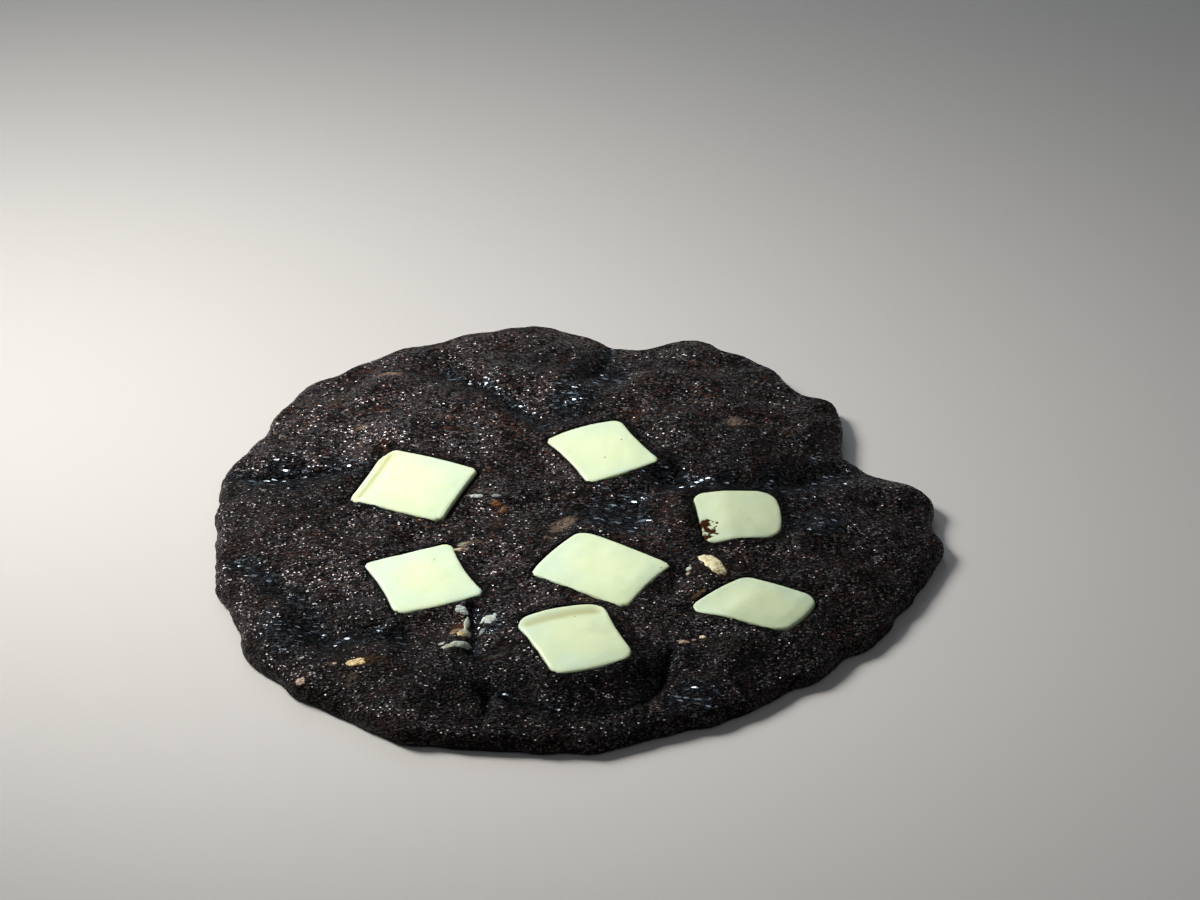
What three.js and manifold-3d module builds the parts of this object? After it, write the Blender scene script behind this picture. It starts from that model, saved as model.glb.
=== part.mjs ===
// Triple chocolate cookie: a thin, almost black cookie that ran out unevenly in the oven,
// with seven chunks of white chocolate pressed into its top.
// Millimetres, +Z up. It lies flat on z = 0 with the middle of its box over the origin,
// -Y is the near side, and every place below is seen from above.

import * as THREE from 'three';
import { mergeVertices } from 'three/addons/utils/BufferGeometryUtils.js';
import Module from 'manifold-3d';

const manifold = await Module();
manifold.setup();

const degree = Math.PI / 180;
const fullTurn = 2 * Math.PI;
const goldenAngle = Math.PI * (3 - Math.sqrt(5));

// ---------------------------------------------------------------------------
// Driving dimensions

const roundRadius = 44.1; // the plain round that the dough would have made
const spreadShift = [-1.9, 0.7]; // it ran this much further to the left and to the back
const middleHeight = 5.5; // height of the flat middle
const rimHeight = 2.3; // height of the rim, on average
const rimThinning = 0.35; // the rim is lower by this on its thin side, higher opposite
const thinSide = -40 * degree; // direction of the thin side, to the right and near
const domeFlatness = 4; // higher keeps the middle flat and drops later to the rim
const rollUpper = 1.4; // how far in from the rim its upper edge is rounded
const rollUpperThinning = 0.5; // less by this on the thin side
const rollLower = 0.8; // the same for the lower edge
const widestShare = 0.42; // the rim is widest at this share of its height
const reliefFadeStart = 0.84; // relief starts to fade out here, as a share of the radius
const reliefLeftAtRim = 0.25; // and this share of it is left at the rim

// Lobes (+) and bays (-) of the rim: direction and half width in degrees, reach in mm.
const rimLobes = [
  [8, 6.5, 2.4],
  [24, 11, -5.9], // the great bay on the right
  [48, 5.5, -2.2],
  [72, 4, 0.9],
  [82, 8.5, -4.4], // the notch at the back
  [96, 5, 0.6],
  [116, 3, -0.8],
  [139, 3.5, 0.9],
  [155, 10, -1.5],
  [181, 10.5, -1.5],
  [213, 4.5, 1.3],
  [223, 11, 2.3],
  [244, 12, 3.1],
  [269, 12, 1.5],
  [286, 7, -0.6],
  [306, 6.5, -1.2],
  [321, 3.5, -1.2], // the small step in the thin side
  [328, 5.5, 0.7],
  [350, 11, 2.0],
  [356, 3, 1.6], // the two points on the right
];

// Ragged crumbs along the rim: waves round the rim and the height of each, in mm.
const rimCrumbs = [
  [23, 0.14],
  [37, 0.12],
  [53, 0.1],
];

// Mounds (+) and dips (-) of the top: x, y, radius and height.
const mounds = [
  [-21, 17, 9, 0.75],
  [-3, 27, 6.5, 0.7],
  [13, 19, 8, 0.65],
  [20, 9.5, 4, 0.35],
  [-32, -3, 6.5, 0.55],
  [-13.5, -3, 4.5, 0.5],
  [-33, -31, 6, 0.35],
  [-19, -35, 6.5, 0.65],
  [0, -31, 9, 0.6],
  [18, -33, 6.5, 0.45],
  [-5, -43, 4.5, 0.5],
  [33, -12, 8, 0.3],
  [6, 32, 4.5, -0.7],
  [3, -2, 5.5, -0.55],
  [27, 4, 7, -0.4],
  [-31, -21, 6, -0.45],
];

// Grooves of the top: the points they run through, half width and depth.
const grooves = [
  { through: [[-44, 9.6], [-37.6, 9], [-33, 8.8], [-27, 8.6]], halfWidth: 2.2, depth: 0.95 },
  { through: [[-15.7, 31.6], [-11.6, 27], [-7.2, 21.3], [-4.3, 17.7]], halfWidth: 2, depth: 0.8 },
  { through: [[4, 38.5], [3.5, 35.3], [3.1, 33], [1.4, 30.2], [-0.8, 27]], halfWidth: 1.5, depth: 0.8 },
  {
    through: [[7, 8], [11, 6.8], [13.8, 5.7], [18.4, 5.1], [24.4, 5.1], [26.5, 7.5], [33, 10.4]],
    halfWidth: 2.2,
    depth: 1.1,
  },
  {
    through: [[-41, -9.5], [-38.4, -12], [-35.1, -16.7], [-32.4, -21], [-30, -24.8], [-21.8, -26.2]],
    halfWidth: 2.2,
    depth: 0.8,
  },
  {
    through: [
      [11.4, -29.5], [10.5, -33.4], [7.8, -37.6], [5.2, -39.3], [1.5, -40.2],
      [-2.7, -40], [-6.7, -38.9], [-10.7, -36.8], [-12.1, -36.3],
    ],
    halfWidth: 1.2,
    depth: 1.1,
  },
  { through: [[-10.7, -36.8], [-10.8, -39.5], [-11.8, -41.6]], halfWidth: 1.1, depth: 0.8 },
  { through: [[-12.3, -21.5], [-12.3, -24], [-12.2, -26.8], [-12.6, -30]], halfWidth: 1.1, depth: 0.7 },
];

// Lumpy dough between them: a sum of low waves in all directions.
const lumpWaves = 11;
const lumpLongest = 13;
const lumpShortest = 7.5;
const lumpHeight = 0.16;

// White chocolate chunks. All were one block of this size before they softened.
const blockHalfSide = 5.3;
const blockThickness = 4;
const blockRounding = 0.8; // radius of a block's corners, seen from above
const edgeDepth = 1.3; // how far down from the top its edges start to be rounded
const chunkCrown = 0.25; // how much higher the middle of a chunk is than its sides
const chunkGap = 0.3; // free space between a chunk and its pocket
const pocketLift = 4; // the pocket is cut this far up, so that it is open on top

// Corners go round from the left one past the near one to the right and back ones.
// rise is how far the chunk stands out of the cookie, bow how far the middle of each side
// (near left, near right, back right, back left) stands out of the straight line, and a
// fall [side, width, drop] is a side that slopes down over a width.
const chunks = [
  {
    corners: [[-28.8, 1.4], [-16.8, -3.9], [-12.3, 7.2], [-24.2, 12.1]],
    rise: 0.8,
    bow: [0.1, 0.3, 0.2, -0.2],
    falls: [[3, 1.7, 0.9]],
  },
  {
    corners: [[-4.4, 13.8], [1.1, 4.1], [10.3, 9.1], [5.4, 18.2]],
    rise: 0.65,
    bow: [-0.3, 0.3, -0.4, 0.6],
    falls: [],
  },
  {
    corners: [[-26.4, -12.4], [-22, -22.8], [-11.1, -19], [-15.6, -8.3]],
    rise: 0.65,
    bow: [-0.1, 0.5, -0.3, -0.2],
    falls: [],
  },
  {
    corners: [[-6.2, -15.2], [5.8, -22.1], [11.5, -12.9], [0.4, -5.7]],
    rise: 0.65,
    bow: [0.3, 0, 0, 0.3],
    falls: [],
  },
  {
    corners: [[-7.5, -25.2], [-3.1, -34.7], [6.6, -30.9], [2.8, -21.1]],
    rise: 0.85,
    bow: [0, 0.8, -0.1, 0.8],
    falls: [[3, 1.9, 0.8]],
  },
  {
    corners: [[12.5, -22], [24.4, -24.2], [28.8, -17.7], [21.1, -14.8]],
    rise: 0.85,
    bow: [0.6, 0.7, 0.2, 0.7],
    falls: [[3, 4.2, 0.8]],
    rounding: 1.2,
  },
  {
    corners: [[13.5, 3], [15.1, -8.9], [24.8, -6.2], [23.9, 3.9]],
    rise: 0.65,
    bow: [0.3, 0.2, 0.8, 0.1],
    falls: [[0, 3.4, 0.5]],
    rounding: 1.8,
  },
];

// Flakes of white chocolate that broke off: x, y, length, width and direction in degrees.
const flakes = [
  [16.3, -12.7, 4.2, 1.9, -56],
  [-13.7, -25.3, 3.4, 1.3, 84],
  [-14.4, -29.4, 3, 1.2, 14],
  [-11.5, -24, 2.2, 1.2, 5],
  [-26, -31.6, 2.6, 1.5, -15],
  [13.8, -27.8, 3, 1, 20],
];
const flakeThickness = 0.9;
const flakeLift = 0.08; // height of a flake's middle over the dough

// How finely the solids are divided
const topRings = 24; // rings of the top, from the middle to the rim
const rollStepsUpper = 3;
const rollStepsLower = 2;
const bottomRings = [12, 6]; // the flat underside gets coarser inwards
const chunkSteps = 6;

// ---------------------------------------------------------------------------
// Form of the dough

const smoothStep = (from, to, value) => THREE.MathUtils.smoothstep(value, from, to);

function turnBetween(angle, other) {
  const turn = (angle - other) % fullTurn;
  if (turn > Math.PI) return turn - fullTurn;
  if (turn < -Math.PI) return turn + fullTurn;
  return turn;
}

function rimRadius(angle) {
  let radius = roundRadius + spreadShift[0] * Math.cos(angle) + spreadShift[1] * Math.sin(angle);
  for (const [direction, halfWidth, reach] of rimLobes) {
    const away = turnBetween(angle, direction * degree) / (halfWidth * degree);
    radius += reach * Math.exp(-away * away);
  }
  for (const [waves, height] of rimCrumbs) {
    radius += height * Math.sin(waves * angle + waves * goldenAngle);
  }
  return radius;
}

function thinness(angle) {
  return Math.cos(angle - thinSide);
}

function edgeHeight(angle) {
  return rimHeight - rimThinning * thinness(angle);
}

function upperRoll(angle) {
  return rollUpper - rollUpperThinning * thinness(angle);
}

function domeHeight(x, y) {
  const angle = Math.atan2(y, x);
  const share = Math.min(Math.hypot(x, y) / rimRadius(angle), 1);
  const edge = edgeHeight(angle);
  return edge + (middleHeight - edge) * (1 - share ** domeFlatness);
}

function distanceToPath(x, y, points) {
  let nearest = Infinity;
  for (let i = 1; i < points.length; i += 1) {
    const [startX, startY] = points[i - 1];
    const [alongX, alongY] = [points[i][0] - startX, points[i][1] - startY];
    const along = ((x - startX) * alongX + (y - startY) * alongY) / (alongX ** 2 + alongY ** 2);
    const share = THREE.MathUtils.clamp(along, 0, 1);
    nearest = Math.min(nearest, Math.hypot(x - startX - share * alongX, y - startY - share * alongY));
  }
  return nearest;
}

function moundRelief(x, y) {
  let relief = 0;
  for (const [middleX, middleY, radius, height] of mounds) {
    const away = Math.hypot(x - middleX, y - middleY) / radius;
    relief += height * Math.exp(-away * away);
  }
  return relief;
}

function grooveRelief(x, y) {
  let relief = 0;
  for (const { through, halfWidth, depth } of grooves) {
    const away = distanceToPath(x, y, through) / halfWidth;
    relief -= depth * Math.exp(-away * away);
  }
  return relief;
}

function lumpRelief(x, y) {
  let relief = 0;
  for (let i = 0; i < lumpWaves; i += 1) {
    const direction = i * goldenAngle;
    const wavelength = lumpLongest * (lumpShortest / lumpLongest) ** (i / (lumpWaves - 1));
    const along = x * Math.cos(direction) + y * Math.sin(direction);
    relief += (wavelength / lumpLongest) * Math.sin((fullTurn * along) / wavelength + i * i);
  }
  return lumpHeight * relief;
}

function topHeight(x, y) {
  const share = Math.hypot(x, y) / rimRadius(Math.atan2(y, x));
  const kept = 1 - (1 - reliefLeftAtRim) * smoothStep(reliefFadeStart, 1, share);
  return domeHeight(x, y) + kept * (moundRelief(x, y) + grooveRelief(x, y) + lumpRelief(x, y));
}

// ---------------------------------------------------------------------------
// Mesh of the dough: a square grid bent into a round, the rolled rim, and the underside

// Grid point (i, j) of a round with this many rings: its ring, and its direction.
function roundGridPoint(i, j, rings) {
  if (i === 0 && j === 0) return { share: 0, angle: 0 };
  const byRow = Math.abs(i) > Math.abs(j);
  const ring = byRow ? i : j;
  const turn = byRow ? (Math.PI / 4) * (j / i) : Math.PI / 2 - (Math.PI / 4) * (i / j);
  return { share: Math.abs(ring) / rings, angle: ring > 0 ? turn : turn + Math.PI };
}

// Grid points round the edge of the square, in the order of their direction.
function roundGridEdge(rings) {
  const edge = [];
  for (let k = -rings; k < rings; k += 1) edge.push([rings, k]);
  for (let k = -rings; k < rings; k += 1) edge.push([-k, rings]);
  for (let k = -rings; k < rings; k += 1) edge.push([-rings, -k]);
  for (let k = -rings; k < rings; k += 1) edge.push([k, -rings]);
  return edge;
}

// A closed mesh grows in this store of points and triangles.
class MeshStore {
  points = [];

  triangles = [];

  addPoint(x, y, z) {
    this.points.push(x, y, z);
    return this.points.length / 3 - 1;
  }

  addTriangle(a, b, c, facingUp = true) {
    this.triangles.push(...(facingUp ? [a, b, c] : [a, c, b]));
  }

  // True if the line from a to c is more level than the one from b to d.
  isMoreLevel(a, c, b, d) {
    const height = (point) => this.points[3 * point + 2];
    return Math.abs(height(a) - height(c)) < Math.abs(height(b) - height(d));
  }

  // Splits four points from a to c, or else from b to d.
  addQuad(a, b, c, d, splitFromA, facingUp) {
    if (splitFromA) {
      this.addTriangle(a, b, c, facingUp);
      this.addTriangle(a, c, d, facingUp);
    } else {
      this.addTriangle(a, b, d, facingUp);
      this.addTriangle(b, c, d, facingUp);
    }
  }

  // Fills a round with a grid, where place gives the point at a ring's share and direction,
  // and returns the points of its outermost ring. Each square is split along its more level
  // diagonal, which keeps slopes smooth. Those on the grid's own diagonals are bent so far
  // that only the split from the middle outwards has no sliver.
  addRound(rings, place, facingUp) {
    const index = new Map();
    const key = (i, j) => `${i} ${j}`;
    for (let i = -rings; i <= rings; i += 1) {
      for (let j = -rings; j <= rings; j += 1) {
        const { share, angle } = roundGridPoint(i, j, rings);
        index.set(key(i, j), this.addPoint(...place(share, angle)));
      }
    }
    for (let i = -rings; i < rings; i += 1) {
      for (let j = -rings; j < rings; j += 1) {
        const a = index.get(key(i, j));
        const b = index.get(key(i + 1, j));
        const c = index.get(key(i + 1, j + 1));
        const d = index.get(key(i, j + 1));
        const bent = Math.abs(i + 0.5) === Math.abs(j + 0.5);
        const splitFromA = bent ? (i + 0.5) * (j + 0.5) > 0 : this.isMoreLevel(a, c, b, d);
        this.addQuad(a, b, c, d, splitFromA, facingUp);
      }
    }
    return roundGridEdge(rings).map(([i, j]) => index.get(key(i, j)));
  }

  // Joins two rings of equal length, the second lying below or inside the first.
  joinRings(outer, inner) {
    for (let i = 0; i < outer.length; i += 1) {
      const next = (i + 1) % outer.length;
      this.addTriangle(outer[i], inner[i], outer[next]);
      this.addTriangle(inner[i], inner[next], outer[next]);
    }
  }

  // Joins a ring to one with half as many points.
  joinRingsHalving(outer, inner) {
    for (let i = 0; i < inner.length; i += 1) {
      const next = (i + 1) % inner.length;
      const [start, middle] = [outer[2 * i], outer[2 * i + 1]];
      const end = outer[(2 * i + 2) % outer.length];
      this.addTriangle(start, inner[i], middle);
      this.addTriangle(middle, inner[i], inner[next]);
      this.addTriangle(middle, inner[next], end);
    }
  }

  toGeometry() {
    const geometry = new THREE.BufferGeometry();
    geometry.setAttribute('position', new THREE.Float32BufferAttribute(this.points, 3));
    geometry.setIndex(this.triangles);
    return geometry;
  }
}

function polar(radius, angle, height) {
  return [radius * Math.cos(angle), radius * Math.sin(angle), height];
}

// Point of the top: rings crowd a little towards the rim, where the dough drops.
function topPoint(share, angle) {
  const radius = share * (rimRadius(angle) - upperRoll(angle));
  const [x, y] = polar(radius, angle, 0);
  return [x, y, topHeight(x, y)];
}

// The rim's section: a quarter of an ellipse down to its widest line, then one under it.
function rimSection(angle, turn) {
  const radius = rimRadius(angle);
  const widest = widestShare * edgeHeight(angle);
  if (turn >= 0) {
    const inner = topPoint(1, angle);
    const roll = upperRoll(angle);
    const drop = inner[2] - widest;
    return polar(radius - roll * (1 - Math.cos(turn)), angle, widest + drop * Math.sin(turn));
  }
  return polar(radius - rollLower * (1 - Math.cos(turn)), angle, widest + widest * Math.sin(turn));
}

function doughGeometry() {
  const store = new MeshStore();
  let ring = store.addRound(topRings, topPoint, true);
  const directions = roundGridEdge(topRings).map(([i, j]) => roundGridPoint(i, j, topRings).angle);
  const turns = [];
  for (let k = rollStepsUpper - 1; k >= 0; k -= 1) turns.push(((Math.PI / 2) * k) / rollStepsUpper);
  for (let k = 1; k <= rollStepsLower; k += 1) turns.push(((-Math.PI / 2) * k) / rollStepsLower);
  for (const turn of turns) {
    const next = directions.map((angle) => store.addPoint(...rimSection(angle, turn)));
    store.joinRings(ring, next);
    ring = next;
  }
  return closeUnderside(store, ring).toGeometry();
}

function undersidePoint(share, angle) {
  return polar(share * (rimRadius(angle) - rollLower), angle, 0);
}

// The flat underside: two rings that halve the number of points, then a coarse grid.
function closeUnderside(store, ring) {
  const [firstRings, lastRings] = bottomRings;
  const firstShare = 1 - 1 / firstRings;
  const first = roundGridEdge(firstRings).map(([i, j]) => {
    const { angle } = roundGridPoint(i, j, firstRings);
    return store.addPoint(...undersidePoint(firstShare, angle));
  });
  store.joinRingsHalving(ring, first);
  const innerShare = 1 - 1 / lastRings;
  const last = store.addRound(lastRings, (s, angle) => undersidePoint(s * innerShare, angle), false);
  store.joinRingsHalving(first, last);
  return store;
}

// ---------------------------------------------------------------------------
// White chocolate chunks and flakes

// Plain closed geometry whose corners are shared, ready for joining and cutting.
function weld(geometry) {
  geometry.deleteAttribute('normal');
  geometry.deleteAttribute('uv');
  return mergeVertices(geometry);
}

// Moves a point of a sharp block onto the block with rounded edges. The rounding is a ball
// stretched upwards, so that it starts further down a side than it reaches in from it.
function roundedBlockPoint(point, half, rounding, depth) {
  const stretch = new THREE.Vector3(1, 1, depth / rounding);
  const core = half.clone().divide(stretch).subScalar(rounding);
  const ball = point.clone().divide(stretch);
  const inner = ball.clone().clamp(core.clone().negate(), core);
  const out = ball.sub(inner);
  if (out.length() > 0) inner.add(out.setLength(rounding));
  return inner.multiply(stretch);
}

// Drop of a chunk's top at (s, t), both from -1 to 1: its crown and its sloping sides.
function chunkDrop(chunk, s, t) {
  let drop = (chunkCrown * (s * s + t * t)) / 2;
  for (const [side, width, depth] of chunk.falls) {
    const distance = blockHalfSide * (1 - sideReach(side, s, t));
    drop += depth * smoothStep(width, 0, distance);
  }
  return drop;
}

// How far (s, t) is out towards a side: 1 on it, -1 on the one opposite.
// Sides: 0 near left, 1 near right, 2 back right, 3 back left. s runs from the left corner
// to the near one, and t from there to the right one.
function sideReach(side, s, t) {
  return [-t, s, t, -s][side];
}

function bowedPlace(chunk, s, t) {
  const bow = (side, across) => (chunk.bow[side] / blockHalfSide) * Math.max(0, 1 - across * across);
  const bowedS = s + Math.max(s, 0) * bow(1, t) - Math.max(-s, 0) * bow(3, t);
  const bowedT = t + Math.max(t, 0) * bow(2, s) - Math.max(-t, 0) * bow(0, s);
  const [left, near, right, back] = chunk.corners;
  const place = [0, 1].map((axis) => {
    const nearSide = (left[axis] * (1 - bowedS) + near[axis] * (1 + bowedS)) / 2;
    const backSide = (back[axis] * (1 - bowedS) + right[axis] * (1 + bowedS)) / 2;
    return (nearSide * (1 - bowedT) + backSide * (1 + bowedT)) / 2;
  });
  return place;
}

// Plane that a chunk's top lies in: height at its middle, and the dough's slopes there.
function chunkSeat(chunk) {
  const [x, y] = bowedPlace(chunk, 0, 0);
  const height = (atX, atY) => domeHeight(atX, atY) + moundRelief(atX, atY);
  const reach = blockHalfSide;
  const slopeX = (height(x + reach, y) - height(x - reach, y)) / (2 * reach);
  const slopeY = (height(x, y + reach) - height(x, y - reach)) / (2 * reach);
  return { x, y, top: height(x, y) + chunk.rise, slopeX, slopeY };
}

// A chunk, or with grow its pocket, which is larger all round and open on top.
function chunkGeometry(chunk, grow = 0, lift = 0) {
  const halfThickness = blockThickness / 2 + grow;
  const halfSide = blockHalfSide + grow;
  const half = new THREE.Vector3(halfSide, halfSide, halfThickness);
  const rounding = (chunk.rounding ?? blockRounding) + grow;
  const seat = chunkSeat(chunk);
  const geometry = weld(new THREE.BoxGeometry(2, 2, 2, chunkSteps, chunkSteps, 2));
  const position = geometry.getAttribute('position');
  const crowd = (value) => Math.sin((value * Math.PI) / 2); // closer together near the edges
  for (let i = 0; i < position.count; i += 1) {
    const sharp = new THREE.Vector3(
      half.x * crowd(position.getX(i)),
      half.y * crowd(position.getY(i)),
      half.z * position.getZ(i),
    );
    const block = roundedBlockPoint(sharp, half, rounding, edgeDepth);
    const [s, t] = [block.x / blockHalfSide, block.y / blockHalfSide];
    const [x, y] = bowedPlace(chunk, s, t);
    const upper = (block.z / halfThickness + 1) / 2;
    const tilt = (x - seat.x) * seat.slopeX + (y - seat.y) * seat.slopeY;
    const middle = seat.top - blockThickness / 2;
    const raised = block.z > 0 ? lift : 0;
    position.setXYZ(i, x, y, middle + block.z + tilt + raised - upper * chunkDrop(chunk, s, t));
  }
  return geometry;
}

function flakeGeometry([x, y, length, width, direction]) {
  const geometry = weld(new THREE.IcosahedronGeometry(1, 1));
  geometry.scale(length / 2, width / 2, flakeThickness / 2);
  geometry.rotateZ(direction * degree);
  geometry.translate(x, y, topHeight(x, y) + flakeLift);
  return geometry;
}

// ---------------------------------------------------------------------------
// Joining and cutting

function toSolid(geometry) {
  return new manifold.Manifold(
    new manifold.Mesh({
      numProp: 3,
      vertProperties: new Float32Array(geometry.getAttribute('position').array),
      triVerts: new Uint32Array(geometry.getIndex().array),
    }),
  );
}

function toGeometry(solid) {
  const mesh = solid.getMesh();
  const geometry = new THREE.BufferGeometry();
  geometry.setAttribute('position', new THREE.BufferAttribute(new Float32Array(mesh.vertProperties), 3));
  geometry.setIndex(new THREE.BufferAttribute(new Uint32Array(mesh.triVerts), 1));
  geometry.computeVertexNormals();
  return geometry;
}

// The dough with its pockets and with the flakes that are baked onto it.
function cookieSolid() {
  let solid = toSolid(doughGeometry());
  for (const flake of flakes) solid = solid.add(toSolid(flakeGeometry(flake)));
  for (const chunk of chunks) {
    solid = solid.subtract(toSolid(chunkGeometry(chunk, chunkGap, pocketLift)));
  }
  return solid;
}

// ---------------------------------------------------------------------------
// Materials and the finished group

function darkDoughMaterial() {
  return new THREE.MeshStandardMaterial({ color: 0x2a2422, roughness: 0.55, metalness: 0 });
}

function whiteChocolateMaterial() {
  return new THREE.MeshStandardMaterial({ color: 0xe8edcb, roughness: 0.4, metalness: 0 });
}

function namedMesh(name, geometry, material) {
  const mesh = new THREE.Mesh(geometry, material);
  mesh.name = name;
  return mesh;
}

const cookie = new THREE.Group();
cookie.add(namedMesh('cookie', toGeometry(cookieSolid()), darkDoughMaterial()));
chunks.forEach((chunk, i) => {
  const geometry = chunkGeometry(chunk);
  geometry.computeVertexNormals();
  cookie.add(namedMesh(`white_chunk_${i + 1}`, geometry, whiteChocolateMaterial()));
});

export default cookie;
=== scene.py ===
# %% [markdown]
# # A triple chocolate cookie, laid flat
#
# The real thing is one thin, almost black cookie about 90 mm across. The dough ran out
# unevenly in the oven, so its rim has lobes and bays, and its top has mounds and creases.
# Seven chunks of white chocolate softened in it and kept their square shape, and a few
# flakes broke off them.
#
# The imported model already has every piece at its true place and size. It comes in first,
# as a fixed frame, and every piece made below is measured in that same frame. We could
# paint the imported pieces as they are, but their faces are large. Making each piece once
# more with far smaller faces, from the same rules, lets the crumb be real relief. A few
# corners and grooves are also set more finely here, by less than a millimetre.

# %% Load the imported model
import math

import bpy
import numpy as np
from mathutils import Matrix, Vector


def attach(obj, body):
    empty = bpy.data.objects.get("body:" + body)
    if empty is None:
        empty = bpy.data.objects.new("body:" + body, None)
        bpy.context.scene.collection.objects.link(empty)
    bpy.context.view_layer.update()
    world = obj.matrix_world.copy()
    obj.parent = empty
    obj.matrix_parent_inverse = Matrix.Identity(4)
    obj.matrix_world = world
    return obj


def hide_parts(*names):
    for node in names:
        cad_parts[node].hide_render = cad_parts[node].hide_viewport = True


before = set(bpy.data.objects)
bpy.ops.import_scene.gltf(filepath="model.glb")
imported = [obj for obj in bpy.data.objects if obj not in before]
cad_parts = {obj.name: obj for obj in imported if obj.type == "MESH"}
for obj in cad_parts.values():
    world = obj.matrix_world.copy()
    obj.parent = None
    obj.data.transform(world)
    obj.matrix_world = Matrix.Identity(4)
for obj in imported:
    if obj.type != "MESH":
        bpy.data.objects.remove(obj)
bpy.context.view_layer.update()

print("packed nodes:", ", ".join(sorted(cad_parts)))

# %% [markdown]
# ## The camera
#
# A camera in Blender is an object with a lens. A long lens, far away, keeps a flat thing
# such as a cookie free of strong perspective, which is how the picture of it looks. The
# view comes down at 34 degrees, so that the round becomes the right oval. The camera
# looks along its own -Z axis, and `to_track_quat` turns that axis towards a point.

# %% Camera
LENS_LENGTH = 200.0  # mm, on a sensor 36 mm wide
SENSOR_WIDTH = 36.0
LOOK_DOWN = math.radians(34.0)
CAMERA_DISTANCE = 0.8386  # metres from the point that it looks at
AIM = Vector((0.0027, 0.01985, 0.0))


def make_camera():
    camera = bpy.data.cameras.new("camera")
    camera.lens = LENS_LENGTH
    camera.sensor_width = SENSOR_WIDTH
    holder = bpy.data.objects.new("camera", camera)
    bpy.context.scene.collection.objects.link(holder)
    backwards = Vector((0.0, -math.cos(LOOK_DOWN), math.sin(LOOK_DOWN)))
    holder.location = AIM + CAMERA_DISTANCE * backwards
    holder.rotation_euler = backwards.to_track_quat("Z", "Y").to_euler()
    bpy.context.scene.camera = holder
    return holder


camera = make_camera()
print("camera at", [round(value, 3) for value in camera.location])

# %% [markdown]
# ## The cookie's own measures
#
# All measures are in millimetres and all places are seen from above, with the near side
# of the cookie at -Y. The rim is a plain round that ran out to the left and the back.
# Each lobe or bay is a soft bump in its radius: a direction and a half width in degrees,
# and how far it reaches. That is easier to read and to change than an outline of points.

# %% Measures of the dough
MM = 0.001
DEGREE = math.pi / 180
FULL_TURN = 2 * math.pi
GOLDEN_ANGLE = math.pi * (3 - math.sqrt(5))

ROUND_RADIUS = 44.1
SPREAD_SHIFT = (-1.9, 0.7)  # how far the round ran out in x and in y
MIDDLE_HEIGHT = 5.5
RIM_HEIGHT = 2.3
RIM_THINNING = 0.35  # how much lower the rim is on its thin side
THIN_SIDE = -40 * DEGREE
DOME_FLATNESS = 4  # the larger this is, the later the top drops towards the rim
ROLL_UPPER = 1.4  # how far the rounding over the rim reaches in
ROLL_UPPER_THINNING = 0.5
ROLL_LOWER = 0.8
WIDEST_SHARE = 0.42  # the rim is widest at this share of its height
RELIEF_FADE_START = 0.84  # share of the radius from which mounds and grooves fade
RELIEF_LEFT_AT_RIM = 0.25

RIM_LOBES = [  # direction and half width in degrees, and reach
    (8, 6.5, 2.4),
    (24, 11, -5.9),  # the great bay on the right
    (48, 5.5, -2.2),
    (72, 4, 0.9),
    (82, 8.5, -4.4),  # the notch at the back
    (96, 5, 0.6),
    (116, 3, -0.8),
    (139, 3.5, 0.9),
    (155, 10, -1.5),
    (181, 10.5, -1.5),
    (213, 4.5, 1.3),
    (223, 11, 2.3),
    (244, 12, 3.1),
    (269, 12, 1.5),
    (286, 7, -0.6),
    (306, 6.5, -1.2),
    (321, 3.5, -1.2),  # the small step in the thin side
    (328, 5.5, 0.7),
    (350, 11, 2.0),
    (356, 3, 1.6),  # the two points on the right
]
RIM_CRUMBS = [(23, 0.14), (37, 0.12), (53, 0.1)]  # waves round the rim, and their height

# %% [markdown]
# ## Measures of the relief
#
# A mound or dip is a soft round hill: x, y, radius and height. A groove follows a few
# points and has a half width and a depth. The dough folded over itself along some of
# them as it sank, so the last group is narrow and deep: real creases with a sharp floor.

# %% Mounds, grooves and creases
MOUNDS = [  # x, y, radius, height
    (-21, 17, 9, 0.75),
    (-3, 27, 6.5, 0.7),
    (13, 19, 8, 0.65),
    (20, 9.5, 4, 0.35),
    (-32, -3, 6.5, 0.55),
    (-13.5, -3, 4.5, 0.5),
    (-33, -31, 6, 0.35),
    (-19, -35, 6.5, 0.65),
    (0, -31, 9, 0.6),
    (18, -33, 6.5, 0.45),
    (-5, -43, 4.5, 0.5),
    (33, -12, 8, 0.3),
    (6, 32, 4.5, -0.4),
    (3, -2, 5.5, -0.55),
    (27, 4, 7, -0.4),
    (-31, -21, 6, -0.45),
]

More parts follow.
